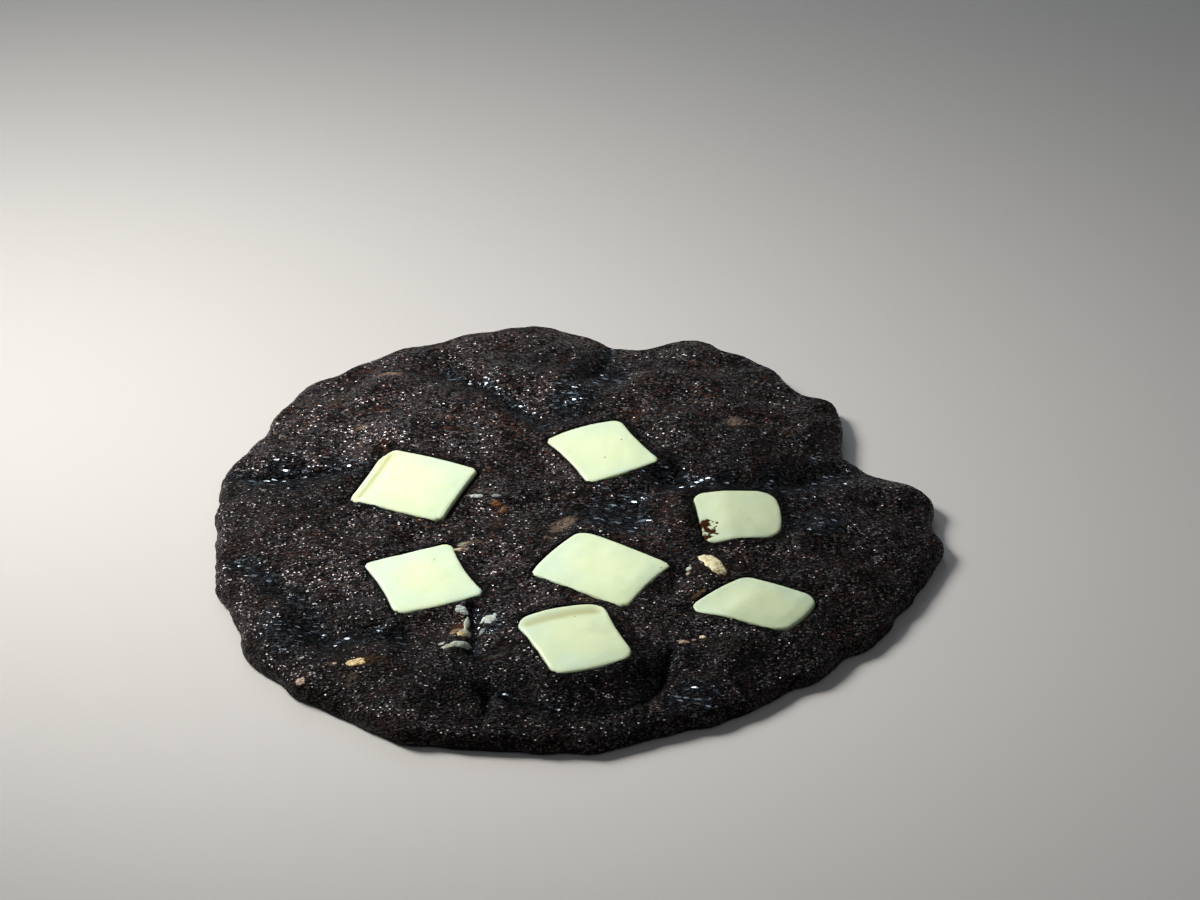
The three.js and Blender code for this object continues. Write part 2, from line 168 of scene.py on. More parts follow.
GROOVES = [
    dict(through=[(-44, 9.6), (-37.6, 9), (-33, 8.8), (-27, 8.6)], half_width=2.2, depth=0.95),
    dict(through=[(-15.7, 31.6), (-11.6, 27), (-7.2, 21.3), (-4.3, 17.7)], half_width=2.0, depth=0.8),
    dict(through=[(4, 38.5), (3.5, 35.3), (3.1, 33), (1.4, 30.2), (-0.8, 27)], half_width=1.5, depth=0.5),
    dict(
        through=[(7, 8), (11, 6.8), (13.8, 5.7), (18.4, 5.1), (24.4, 5.1), (26.5, 7.5), (33, 10.4)],
        half_width=2.2,
        depth=1.1,
    ),
    dict(
        through=[(-41, -9.5), (-38.4, -12), (-35.1, -16.7), (-32.4, -21), (-30, -24.8), (-21.8, -26.2)],
        half_width=2.2,
        depth=0.8,
    ),
    dict(
        through=[
            (11.4, -29.5), (10.5, -33.4), (7.8, -37.6), (5.2, -39.3), (1.5, -40.2),
            (-2.7, -40), (-6.7, -38.9), (-10.7, -36.8), (-12.1, -36.3),
        ],
        half_width=1.2,
        depth=0.35,
    ),
    dict(through=[(-10.7, -36.8), (-10.8, -39.5), (-11.8, -41.6)], half_width=1.1, depth=0.8),
    dict(through=[(-12.3, -21.5), (-12.3, -24), (-12.2, -26.8), (-12.6, -30)], half_width=1.1, depth=0.7),
]

CREASES = [
    dict(
        through=[
            (11.2, -29.5), (10.5, -33.4), (9.4, -35.9), (7.8, -37.9), (5.2, -39.6), (1.5, -40.6),
            (-2.7, -40.4), (-6.7, -39.1), (-10.7, -36.9), (-12.1, -36.3),
        ],
        half_width=0.3,
        depth=0.4,
    ),
    dict(through=[(-10.7, -36.9), (-10.6, -39.9), (-11.5, -42.3)], half_width=0.35, depth=0.45),
    dict(
        through=[(-12.7, -20.8), (-12.4, -23.5), (-12.1, -26.8), (-12.8, -30.3)],
        half_width=0.4,
        depth=0.35,
    ),
    dict(through=[(9.9, -18.4), (11.5, -17.4), (13.6, -18.6)], half_width=0.25, depth=0.4),
    dict(through=[(-43, 9.9), (-37.6, 9.6), (-32, 9.4), (-28, 9.2)], half_width=0.6, depth=0.35),
    dict(through=[(4, 37.5), (3.6, 35.3), (3.2, 33), (1.4, 30.4)], half_width=0.35, depth=0.2),
    dict(through=[(-14, 30), (-11.2, 26.5), (-7.4, 21.8)], half_width=0.5, depth=0.3),
]

LUMP_WAVES = 11  # the whole top is uneven in long waves, from the longest to the shortest
LUMP_LONGEST = 13
LUMP_SHORTEST = 7.5
LUMP_HEIGHT = 0.16
print(len(MOUNDS), "mounds,", len(GROOVES), "grooves and", len(CREASES), "creases")

# %% [markdown]
# ## Noise that fits in a few lines
#
# Crumb is too fine and too many to place by hand, so it comes from noise. Blender has
# noise in its shaders, but a shader can't move a vertex that is exported, so we work it
# out with numpy for all points at once. `soft_noise` makes hills and dips: each corner of
# a square lattice gets a random slope, and the slopes are blended smoothly between the
# corners. `crumb_gaps` scatters one random point in each square and gives the distance to
# the nearest: small on a crumb, large in the gap between two. Both use a seed, so the
# cookie is the same each time, and `layered` adds up several sizes of either. `ease` goes
# from 0 to 1 without a kink, and `bell` is 1 in the middle and fades out on both sides.

# %% Noise helpers
LATTICE = 128  # corners after which the noise repeats
NOISE_GAIN = 1.4  # so that the highest hills come near 1


def soft_noise(x, y, size, seed):
    turns = np.random.default_rng(seed).uniform(0, FULL_TURN, (LATTICE, LATTICE))
    slope_x, slope_y = np.cos(turns), np.sin(turns)
    column, row = np.floor(x / size).astype(int), np.floor(y / size).astype(int)
    u, v = x / size - column, y / size - row
    blend_u, blend_v = (w**3 * (w * (6 * w - 15) + 10) for w in (u, v))

    def corner(right, up):
        at = (column + right) % LATTICE, (row + up) % LATTICE
        return slope_x[at] * (u - right) + slope_y[at] * (v - up)

    near = corner(0, 0) * (1 - blend_u) + corner(1, 0) * blend_u
    far = corner(0, 1) * (1 - blend_u) + corner(1, 1) * blend_u
    return NOISE_GAIN * (near * (1 - blend_v) + far * blend_v)


def crumb_gaps(x, y, size, seed):
    places = np.random.default_rng(seed).uniform(0, 1, (2, LATTICE, LATTICE))
    column, row = np.floor(x / size).astype(int), np.floor(y / size).astype(int)
    u, v = x / size - column, y / size - row
    nearest = np.full(np.shape(x), np.inf)
    for right in (-1, 0, 1):
        for up in (-1, 0, 1):
            at = (column + right) % LATTICE, (row + up) % LATTICE
            away = np.hypot(right + places[0][at] - u, up + places[1][at] - v)
            nearest = np.minimum(nearest, away)
    return nearest


def ease(start, end, value):
    share = np.clip((value - start) / (end - start), 0, 1)
    return share * share * (3 - 2 * share)


def bell(away):
    return np.exp(-away * away)


def layered(noise, x, y, layers):
    return sum(height * noise(x, y, size, seed) for size, height, seed in layers)


test_line = np.linspace(0, 40, 2001)
test_noise = soft_noise(test_line, test_line / 3, 3.0, 1)
print("soft noise runs from %.2f to %.2f" % (test_noise.min(), test_noise.max()))

# %% [markdown]
# ## The form of the dough
#
# `rim_radius` gives the outline in each direction. The plain height is a low dome that
# stays flat in the middle and drops near the rim. It could be a smooth surface pulled
# into place by hand, but then the rim would follow no measure that we could change.

# %% Outline and dome
def turn_between(angle, other):
    return (angle - other + math.pi) % FULL_TURN - math.pi


def rim_radius(angle):
    radius = ROUND_RADIUS + SPREAD_SHIFT[0] * np.cos(angle) + SPREAD_SHIFT[1] * np.sin(angle)
    for direction, half_width, reach in RIM_LOBES:
        away = turn_between(angle, direction * DEGREE) / (half_width * DEGREE)
        radius = radius + reach * bell(away)
    for waves, height in RIM_CRUMBS:
        radius = radius + height * np.sin(waves * angle + waves * GOLDEN_ANGLE)
    return radius


def thinness(angle):
    return np.cos(angle - THIN_SIDE)


def edge_height(angle):
    return RIM_HEIGHT - RIM_THINNING * thinness(angle)


def upper_roll(angle):
    return ROLL_UPPER - ROLL_UPPER_THINNING * thinness(angle)


def share_of_radius(x, y):
    return np.hypot(x, y) / rim_radius(np.arctan2(y, x))


def dome_height(x, y):
    edge = edge_height(np.arctan2(y, x))
    share = np.minimum(share_of_radius(x, y), 1)
    return edge + (MIDDLE_HEIGHT - edge) * (1 - share**DOME_FLATNESS)


test_radii = rim_radius(np.linspace(0, FULL_TURN, 361))
print("the rim lies %.1f to %.1f mm from the middle" % (min(test_radii), max(test_radii)))

# %% [markdown]
# ## Relief on the dome
#
# A real top is no plain dome: the dough pushed up mounds and sank into grooves. So each
# kind of relief has a function that sums up its own list, and they are added. The sum
# fades out towards the rim, where the thin edge of a real cookie bakes flat first.
# `nearest_on_path` says how far a point is from a line through a few others, and how high
# that line is there, if it has heights.

# %% Relief functions
def nearest_on_path(x, y, points):
    nearest, height = np.full(np.shape(x), np.inf), 0 * x
    for start, end in zip(points[:-1], points[1:]):
        reach = np.subtract(end, start)
        along = (x - start[0]) * reach[0] + (y - start[1]) * reach[1]
        share = np.clip(along / (reach[0] ** 2 + reach[1] ** 2), 0, 1)
        away = np.hypot(x - start[0] - share * reach[0], y - start[1] - share * reach[1])
        if len(start) > 2:
            height = np.where(away < nearest, start[2] + share * reach[2], height)
        nearest = np.minimum(nearest, away)
    return nearest, height


def mound_relief(x, y):
    relief = 0 * x
    for middle_x, middle_y, radius, height in MOUNDS:
        relief = relief + height * np.exp(-((x - middle_x) ** 2 + (y - middle_y) ** 2) / radius**2)
    return relief


def groove_relief(x, y, grooves):
    relief = 0 * x
    for groove in grooves:
        away = nearest_on_path(x, y, groove["through"])[0] / groove["half_width"]
        relief = relief - groove["depth"] * bell(away)
    return relief


def lump_relief(x, y):
    relief = 0 * x
    for i in range(LUMP_WAVES):
        direction = i * GOLDEN_ANGLE
        wavelength = LUMP_LONGEST * (LUMP_SHORTEST / LUMP_LONGEST) ** (i / (LUMP_WAVES - 1))
        along = x * np.cos(direction) + y * np.sin(direction)
        wave = np.sin(FULL_TURN * along / wavelength + i * i)
        relief = relief + wavelength / LUMP_LONGEST * wave
    return LUMP_HEIGHT * relief


def relief_kept(x, y):
    return 1 - (1 - RELIEF_LEFT_AT_RIM) * ease(RELIEF_FADE_START, 1, share_of_radius(x, y))


def top_height(x, y):
    relief = mound_relief(x, y) + groove_relief(x, y, GROOVES) + lump_relief(x, y)
    return dome_height(x, y) + relief_kept(x, y) * relief


print("height in the middle: %.2f mm" % top_height(np.float64(0), np.float64(0)))

# %% [markdown]
# ## The chunks of white chocolate
#
# Each chunk was a small square block with rounded edges. In the oven it slumped into a
# crooked square. So each one is made as a block first, and is then bent into its four
# corners, with sides that bow out or in. A fall is a side where the top slopes down, and
# a trough is a shallow dent that runs beside a side. Building all seven from one rule
# keeps them alike in kind, and the numbers below keep them different.

# %% Measures of the chunks
BLOCK_HALF_SIDE = 5.3
BLOCK_THICKNESS = 4.0
BLOCK_ROUNDING = 0.5  # how far the rounding of an edge reaches in over the top
EDGE_DEPTH = 0.3  # how far it reaches down the side
CHUNK_CROWN = 0.25  # how much lower the corners of the top are than its middle
NEAR_LEFT, NEAR_RIGHT, BACK_RIGHT, BACK_LEFT = range(4)

# Corners and their rounding go round from the left one past the near one to the right and
# back ones. The bows are those of the near left, near right, back right and back left
# sides, and rise is how far the top stands over the dough. A fall is a side, how far in
# it starts, its depth, and the share of it that is lost from one end of the side to the
# other. A trough is a side, the distance from it, a half width and a depth. slack is how
# far the wall of the pocket stands off on the near right, in x and y. Then come painted
# shade, how bright the chunk is painted for the light that reaches it, and how much
# darker it is painted towards the near right, and last the width of the dark line round
# the chunk, which is fat that seeped into the dough and painted shade where the two meet.
CHUNKS = [
    dict(
        name="chunk_at_the_left",
        node="white_chunk_1",
        corners=[(-28.8, 1.4), (-16.8, -4.0), (-12.3, 7.0), (-24.4, 12.1)],
        rise=0.45,
        bow=[0.1, -0.1, 0.2, -0.2],
        falls=[(BACK_LEFT, 1.7, 0.9, 0.0)],
        troughs=[(BACK_LEFT, 1.2, 0.5, 0.2)],
        corner_rounding=(2.0, 1.2, 0.5, 1.5),
        slack=(0.6, -0.3),
    ),
    dict(
        name="chunk_at_the_back",
        node="white_chunk_2",
        corners=[(-4.2, 13.8), (1.2, 4.1), (10.3, 9.1), (5.3, 18.1)],
        rise=0.5,
        bow=[-0.3, 0.3, -0.4, 0.6],
        corner_rounding=(0.7, 1.2, 0.8, 1.2),
    ),
    dict(
        name="chunk_near_left",
        node="white_chunk_3",
        corners=[(-26.3, -12.4), (-22.1, -22.9), (-11.0, -19.1), (-15.3, -8.5)],
        rise=0.4,
        bow=[-0.45, 0.5, -0.6, -0.1],
        corner_rounding=(0.9, 1.4, 0.9, 1.1),
    ),
    dict(
        name="chunk_in_the_middle",
        node="white_chunk_4",
        corners=[(-5.8, -15.0), (5.9, -22.4), (11.5, -13.1), (0.4, -5.7)],
        rise=0.5,
        bow=[0.1, -0.3, 0, 0.3],
        falls=[(NEAR_LEFT, 1.6, 0.12, 0.0), (NEAR_RIGHT, 1.6, 0.12, 0.0)],
        corner_rounding=(0.5, 1.3, 0.5, 1.6),
    ),
    dict(
        name="chunk_at_the_front",
        node="white_chunk_5",
        corners=[(-7.9, -25.1), (-2.9, -35.3), (7.0, -31.6), (3.1, -21.5)],
        rise=0.55,
        bow=[-0.2, 0.8, -0.4, 0.8],
        corner_rounding=(2.0, 1.2, 1.5, 1.5),
        painted_light_share=0.97,
        falls=[(BACK_LEFT, 2.6, 0.35, 0.0), (NEAR_LEFT, 1.6, 0.1, 0.0), (NEAR_RIGHT, 1.6, 0.1, 0.0)],
        troughs=[(BACK_LEFT, 1.6, 0.85, 0.22)],
    ),
    dict(
        name="chunk_at_the_right",
        node="white_chunk_6",
        corners=[(12.8, -21.3), (24.3, -25.1), (29.1, -18.2), (20.2, -15.0)],
        rise=0.45,
        bow=[0.2, 0.7, 0, 0.3],
        falls=[(BACK_LEFT, 5.2, 0.8, 0.9), (NEAR_RIGHT, 1.8, 0.1, 0.0)],
        corner_rounding=(2.4, 1.8, 2.0, 1.2),
        painted_light_share=0.89,
        slack=(0.35, -0.25),
    ),
    dict(
        name="chunk_back_right",
        node="white_chunk_7",
        corners=[(14, 2.9), (15.3, -8.2), (24.6, -6.8), (23.9, 3.2)],
        rise=0.35,
        bow=[-0.1, 0, 0.8, -0.1],
        falls=[(NEAR_LEFT, 4.6, 0.5, 0.0)],
        corner_rounding=(1.6, 2.2, 2.1, 2.3),
        soak_and_shade_width=1.4,
        painted_light_share=0.75,
        painted_shade_falls=0.05,
    ),
]
print(len(CHUNKS), "chunks, each", 2 * BLOCK_HALF_SIDE, "mm wide before it softened")

# %% [markdown]
# ## Where a chunk lies
#
# A place on a chunk is given by s and t. Both go from -1 to 1: s from the left corner to
# the near one, and t from there to the right one. `bowed_place` turns them into x and y.
# A chunk sits on the slope that the dough has under it, and its top drops from there.

# %% Places on a chunk
def bowed_place(chunk, s, t):
    def bow(side, across):
        return chunk["bow"][side] / BLOCK_HALF_SIDE * np.maximum(0, 1 - across * across)

    bowed_s = s + np.maximum(s, 0) * bow(NEAR_RIGHT, t) - np.maximum(-s, 0) * bow(BACK_LEFT, t)
    bowed_t = t + np.maximum(t, 0) * bow(BACK_RIGHT, s) - np.maximum(-t, 0) * bow(NEAR_LEFT, s)
    left, near, right, back = chunk["corners"]
    place = []
    for axis in (0, 1):
        near_side = (left[axis] * (1 - bowed_s) + near[axis] * (1 + bowed_s)) / 2
        back_side = (back[axis] * (1 - bowed_s) + right[axis] * (1 + bowed_s)) / 2
        place.append((near_side * (1 - bowed_t) + back_side * (1 + bowed_t)) / 2)
    return place


def depth_in_from(side, s, t):
    reach = (-t, s, t, -s)[side]
    return BLOCK_HALF_SIDE * (1 - reach)


def chunk_seat(chunk):
    def height(x, y):
        return float(dome_height(x, y) + mound_relief(x, y))

    x, y = bowed_place(chunk, np.float64(0), np.float64(0))
    reach = BLOCK_HALF_SIDE
    slope_x = (height(x + reach, y) - height(x - reach, y)) / (2 * reach)
    slope_y = (height(x, y + reach) - height(x, y - reach)) / (2 * reach)
    return x, y, height(x, y) + chunk["rise"], slope_x, slope_y


def chunk_drop(chunk, s, t):
    drop = CHUNK_CROWN * (s * s + t * t) / 2
    for side, width, depth, fading in chunk.get("falls", []):
        along = t if side in (NEAR_RIGHT, BACK_LEFT) else s
        kept = 1 - fading * (1 + along) / 2
        drop = drop + kept * depth * ease(width, 0, depth_in_from(side, s, t))
    return drop


def chunk_edge(chunk, steps=12):
    line = np.linspace(-1, 1, steps, endpoint=False)
    one = np.ones(steps)
    s = np.concatenate([line, one, -line, -one, [-1]])
    t = np.concatenate([-one, line, one, -line, [-1]])
    x, y = bowed_place(chunk, s, t)
    seat_x, seat_y, top, slope_x, slope_y = chunk_seat(chunk)
    height = top + (x - seat_x) * slope_x + (y - seat_y) * slope_y - chunk_drop(chunk, s, t)
    return np.column_stack([x, y, height])


print("chunk tops at", [round(chunk_seat(chunk)[2], 2) for chunk in CHUNKS], "mm")

# %% [markdown]
# ## From numbers to meshes
#
# A Blender mesh is a list of points and a list of faces that name those points. Building
# that list ourselves, rather than sculpting, makes every point follow the rules above. A
# value can be painted on each point too, in a named layer, for a material to read.

# %% Mesh helpers
def shade_smooth(mesh):
    mesh.polygons.foreach_set("use_smooth", [True] * len(mesh.polygons))


def make_piece(name, points, faces):
    mesh = bpy.data.meshes.new(name)
    mesh.from_pydata((np.asarray(points) * MM).tolist(), [], [list(map(int, face)) for face in faces])
    mesh.update()
    shade_smooth(mesh)
    piece = bpy.data.objects.new(name, mesh)
    bpy.context.scene.collection.objects.link(piece)
    return piece


def points_of(piece):
    flat = np.empty(3 * len(piece.data.vertices), np.float32)
    piece.data.vertices.foreach_get("co", flat)
    return flat.reshape(-1, 3).astype(float) / MM


def paint_points(piece, name, values):
    kind, field = ("FLOAT", "value") if values.ndim == 1 else ("FLOAT_COLOR", "color")
    layer = piece.data.attributes.new(name, kind, "POINT")
    layer.data.foreach_set(field, values.astype(np.float32).ravel())


# %% [markdown]
# ## Grids
#
# `round_grid` bends a square grid into a round, so that all faces are about as large,
# which rings of wedges would not give. `join_rings` makes the faces between two rings of
# points, and its other form does so where the inner ring has half as many, to save faces
# on a side that is seldom seen. `block_grid` makes the six sides of a block.

# %% Grids
def round_grid(rings):
    steps = np.arange(-rings, rings + 1)
    i, j = (a.ravel() for a in np.meshgrid(steps, steps, indexing="ij"))
    by_row = np.abs(i) > np.abs(j)
    ring = np.where(by_row, i, j)
    quarter = math.pi / 4 * np.where(by_row, j, i) / np.where(ring == 0, 1, ring)
    turn = np.where(by_row, quarter, math.pi / 2 - quarter)
    return np.abs(ring) / rings, np.where(ring > 0, turn, turn + math.pi)


def round_grid_faces(rings, facing_up):
    width = 2 * rings + 1
    faces = []
    for i in range(2 * rings):
        for j in range(2 * rings):
            a, b = i * width + j, (i + 1) * width + j
            c, d = b + 1, a + 1
            if i == j:
                split = [(a, b, c), (a, c, d)]
            elif i + j == 2 * rings - 1:
                split = [(a, b, d), (b, c, d)]
            else:
                split = [(a, b, c, d)]
            faces += split if facing_up else [face[::-1] for face in split]
    return faces


def round_grid_edge(rings):
    width = 2 * rings + 1
    line = range(-rings, rings)
    edge = [(rings, k) for k in line] + [(-k, rings) for k in line]
    edge += [(-rings, -k) for k in line] + [(k, -rings) for k in line]
    return [(i + rings) * width + j + rings for i, j in edge]


def join_rings(outer, inner):
    following = [(k + 1) % len(outer) for k in range(len(outer))]
    return [(outer[k], inner[k], inner[n], outer[n]) for k, n in enumerate(following)]


def join_rings_halving(outer, inner):
    faces = []
    for k in range(len(inner)):
        start, middle, end = outer[2 * k], outer[2 * k + 1], outer[(2 * k + 2) % len(outer)]
        after = inner[(k + 1) % len(inner)]
        faces += [(start, inner[k], middle), (middle, inner[k], after), (middle, after, end)]
    return faces


def block_grid(across, up):
    counts = (across, across, up)
    points, faces = [], []
    for axis in range(3):
        first, second = (axis + 1) % 3, (axis + 2) % 3
        for side in (-1, 1):
            start = len(points)
            for m in range(counts[first] + 1):
                for n in range(counts[second] + 1):
                    point = [0.0, 0.0, 0.0]
                    point[axis] = float(side)
                    point[first] = 2 * m / counts[first] - 1
                    point[second] = 2 * n / counts[second] - 1
                    points.append(point)
            row = counts[second] + 1
            for m in range(counts[first]):
                for n in range(counts[second]):
                    a = start + m * row + n
                    face = (a, a + row, a + row + 1, a + 1)
                    faces.append(face if side > 0 else face[::-1])
    points, shared = np.unique(np.round(points, 6), axis=0, return_inverse=True)
    shared = shared.ravel()
    return points, [[int(shared[k]) for k in face] for face in faces]


print("a round grid of 3 rings has", len(round_grid(3)[0]), "points")

# %% [markdown]
# ## Crumb
#
# Up close, baked dough is rough at every scale: wrinkles a few millimetres long, crumbs
# of one to two millimetres, and grains of half a millimetre. The first two are relief in
# the mesh. A face of the top is a third of a millimetre wide, so the finest grains are
# left to the material. The relief goes down about as far as up, so the cookie keeps its
# size. Fat made some places and the grooves wet. There the dough has run: its crumb is
# weaker, and it has thin wrinkles instead.

# %% Crumb relief
WET_AND_SHADED_PLACES = [  # x, y, radius: where fat from the chocolate has made the dough wet, in hollows, painted dark as wet dough and as shade
    (4, -1.5, 5.5),
    (11.5, 6.5, 3.5),
    (18, 5, 3.5),
    (25, 5.5, 4.5),
    (31, 8, 4.5),
    (29, -3, 4),
    (-36, 8.5, 4.5),
    (-30, 8.5, 3.5),
    (3, 31, 4.5),
    (-1, 23, 4),
    (-11, -25, 2),
    (-35, -24, 4),
    (14, -37, 3.5),
]
# grooves count as wet as well, so their dark paint is partly painted shade
GROOVE_WET_AND_SHADE = 0.75
WET_AT_ALL = 0.02
WET_START, WET_FULL = 0.3, 0.75
RUN_SQUEEZE = 1.6  # above 1 draws the wrinkles of wet dough out along X
WET_SMOOTHING = 0.5  # how much of the crumb is gone where the dough is wet
MIDDLE_GAP = 0.45  # the usual distance to the nearest crumb, in squares of the lattice
CRUMB_SUNK = 0.05

# Each list of noise holds size, height and seed.
WET_EDGE = [(3.1, 0.35, 21), (1.4, 0.2, 22)]
WRINKLES = [(3.7, 0.13, 1), (2.1, 0.1, 2)]
CRUMBS = [(1.7, 0.19, 3), (1.0, 0.15, 4)]
RUN_FOLDS = [(1.5, 0.14, 6)]


# wet places and grooves; in the colour this also paints shade into the hollows
def wet_and_hollow_shade(x, y):
    wet = 0 * x
    for middle_x, middle_y, radius in WET_AND_SHADED_PLACES:
        wet = np.maximum(wet, bell(np.hypot(x - middle_x, y - middle_y) / radius))
    for groove in GROOVES:
        away = nearest_on_path(x, y, groove["through"])[0] / groove["half_width"]
        wet = np.maximum(wet, GROOVE_WET_AND_SHADE * bell(away))
    ragged = wet + layered(soft_noise, x, y, WET_EDGE)
    return ease(WET_START, WET_FULL, ragged) * (wet > WET_AT_ALL)


def crumb_tops(x, y, size, seed):
    return MIDDLE_GAP - crumb_gaps(x, y, size, seed)


def crumb_relief(x, y):
    wet = wet_and_hollow_shade(x, y)
    crumbs = (1 - WET_SMOOTHING * wet) * layered(crumb_tops, x, y, CRUMBS)
    run = wet * np.abs(layered(soft_noise, x, RUN_SQUEEZE * y, RUN_FOLDS))
    return layered(soft_noise, x, y, WRINKLES) + crumbs - run - CRUMB_SUNK


LIP_WIDTH = 1.5  # the dough comes up to the edge of a chunk over about this far
LIP_BELOW = 0.06


def smooth_height(x, y):
    height = top_height(x, y) + relief_kept(x, y) * groove_relief(x, y, CREASES)
    for chunk in CHUNKS:
        away, edge = nearest_on_path(x, y, chunk_edge(chunk))
        height = height + bell(away / LIP_WIDTH) * (edge - LIP_BELOW - height)
    return height


def dressed_height(x, y):
    return smooth_height(x, y) + relief_kept(x, y) * crumb_relief(x, y)


test_height = dressed_height(test_line, 0 * test_line)
print("right of the middle the top lies between %.2f and %.2f mm" % (min(test_height), max(test_height)))

# %% [markdown]
# ## The dough
#
# The mesh starts as the round grid of the top. From its edge, rings go down over the
# rolled rim, with a ragged crumb of their own. The flat underside closes it, with shallow
# pores where air was caught under the dough. It is seldom seen, so its faces are larger.

# %% Dough mesh
TOP_RINGS = 140
ROLL_STEPS_UPPER = 6
ROLL_STEPS_LOWER = 4
RIM_UNROLLED = 44  # millimetres of rim to each radian, where the noise is laid round it
RIM_SQUEEZE = 2.5  # the crumb of the rim is longer than it is high
RIM_FOLDS = [(5.3, 1.0, 7), (0.8, 0.9, 11)]
RIM_GRAINS = [(1.1, 0.7, 8)]
RIM_SET_BACK, RIM_ROUGHNESS = 0.06, 0.16
PORES = [(1.9, 9), (4.4, 10)]  # size and seed
PORE_DEPTH = 0.12
PORES_FADE_FROM = 0.93  # share of the radius


def rim_section(angle, turn, inner_height):
    widest = WIDEST_SHARE * edge_height(angle)
    if turn >= 0:
        radius = rim_radius(angle) - upper_roll(angle) * (1 - math.cos(turn))
        height = widest + (inner_height - widest) * math.sin(turn)
    else:
        radius = rim_radius(angle) - ROLL_LOWER * (1 - math.cos(turn))
        height = widest * (1 + math.sin(turn))
    around, up = RIM_UNROLLED * angle, RIM_SQUEEZE * height
    rough = layered(soft_noise, around, up, RIM_FOLDS) + layered(crumb_gaps, around, up, RIM_GRAINS)
    radius = radius - math.cos(turn) * (RIM_SET_BACK + RIM_ROUGHNESS * rough)
    return radius * np.cos(angle), radius * np.sin(angle), height


def underside_height(x, y):
    pores = sum(np.maximum(0, soft_noise(x, y, size, seed)) ** 2 for size, seed in PORES)
    return PORE_DEPTH * ease(1.0, PORES_FADE_FROM, share_of_radius(x, y)) * pores


def dough_shape():
    share, angle = round_grid(TOP_RINGS)
    radius = share * (rim_radius(angle) - upper_roll(angle))
    x, y = radius * np.cos(angle), radius * np.sin(angle)
    points = [np.column_stack([x, y, dressed_height(x, y)])]
    faces = round_grid_faces(TOP_RINGS, True)
    ring = round_grid_edge(TOP_RINGS)
    around = angle[ring]
    inner_height = points[0][ring, 2]
    turns = [90 * DEGREE * k / ROLL_STEPS_UPPER for k in range(ROLL_STEPS_UPPER - 1, -1, -1)]
    turns += [-90 * DEGREE * k / ROLL_STEPS_LOWER for k in range(1, ROLL_STEPS_LOWER + 1)]
    count = len(x)
    for turn in turns:
        points.append(np.column_stack(rim_section(around, turn, inner_height)))
        below = list(range(count, count + len(ring)))
        faces += join_rings(ring, below)
        ring, count = below, count + len(ring)
    return close_underside(points, faces, ring, count)


def close_underside(points, faces, ring, count):
    for halving in (1, 2):
        rings = TOP_RINGS >> halving
        share, angle = round_grid(rings)
        if halving == 1:
            edge = round_grid_edge(rings)
            share, angle = share[edge] * (1 - 1 / rings), angle[edge]
            below = list(range(count, count + len(edge)))
        else:
            share = share * (1 - 2 / rings)
            below = [count + k for k in round_grid_edge(rings)]
            faces += [tuple(count + k for k in face) for face in round_grid_faces(rings, False)]
        radius = share * (rim_radius(angle) - ROLL_LOWER)
        x, y = radius * np.cos(angle), radius * np.sin(angle)
        points.append(np.column_stack([x, y, underside_height(x, y)]))
        faces += join_rings_halving(ring, below)
        ring, count = below, count + len(x)
    return np.concatenate(points), faces


dough = make_piece("dark_dough", *dough_shape())
print("dough:", len(dough.data.vertices), "points,", len(dough.data.polygons), "faces")

# %% [markdown]
# ## The shape of a chunk
#
# A rounded block is a sharp block whose points are pulled onto a ball wherever they lie
# outside a smaller block within it. The ball is pressed a little flat, so that an edge is
# rounded further in over the top than down the side. The four upright corners are rounded
# more, each as much as its own chunk melted. The block is then bent into its corners, set
# on the slope of the dough, and lowered where its top falls away.

# %% Chunk shape
TINY = 1e-9  # keeps a division from having nothing below the line


def rounded_block(points, half, rounding, depth):
    stretch = np.array([1.0, 1.0, depth / rounding])
    core = half / stretch - rounding
    ball = points / stretch
    inner = np.clip(ball, -core, core)
    out = ball - inner
    length = np.linalg.norm(out, axis=1, keepdims=True)
    return (inner + np.where(length > 0, out / np.maximum(length, TINY) * rounding, 0)) * stretch


def round_corners(chunk, s, t):
    left, near, right, back = (radius / BLOCK_HALF_SIDE for radius in chunk["corner_rounding"])
    radius = np.where(t < 0, np.where(s < 0, left, near), np.where(s < 0, back, right))
    reach = np.maximum(np.maximum(np.abs(s), np.abs(t)), TINY)
    along, across = np.abs(s) / reach, np.abs(t) / reach
    middle = 1 - radius
    square = np.maximum(along**2 + across**2, TINY)
    ahead = middle * (along + across)
    inside = np.maximum(ahead**2 - square * (2 * middle**2 - radius**2), 0)
    outline = np.where(np.minimum(along, across) > middle, (ahead + np.sqrt(inside)) / square, 1)
    keep = 1 - (1 - outline) * np.minimum(reach, 1) ** 4
    return s * keep, t * keep


def chunk_shape(chunk, across, up, grow=0.0, lift=0.0):
    points, faces = block_grid(across, up)
    half = np.array([BLOCK_HALF_SIDE + grow, BLOCK_HALF_SIDE + grow, BLOCK_THICKNESS / 2 + grow])
    sharp = points * half
    sharp[:, :2] = half[:2] * np.sin(points[:, :2] * math.pi / 2)
    block = rounded_block(sharp, half, BLOCK_ROUNDING + grow, EDGE_DEPTH)
    s, t = round_corners(chunk, block[:, 0] / BLOCK_HALF_SIDE, block[:, 1] / BLOCK_HALF_SIDE)
    x, y = bowed_place(chunk, s, t)
    seat_x, seat_y, top, slope_x, slope_y = chunk_seat(chunk)
    upper = (block[:, 2] / half[2] + 1) / 2
    tilt = (x - seat_x) * slope_x + (y - seat_y) * slope_y
    z = top - BLOCK_THICKNESS / 2 + block[:, 2] + tilt - upper * chunk_drop(chunk, s, t)
    return np.column_stack([x, y, z + lift * (block[:, 2] > 0)]), faces, s, t, upper


test_heights = chunk_shape(CHUNKS[0], 4, 2)[0][:, 2]
print("the first chunk goes from %.2f to %.2f mm" % (min(test_heights), max(test_heights)))
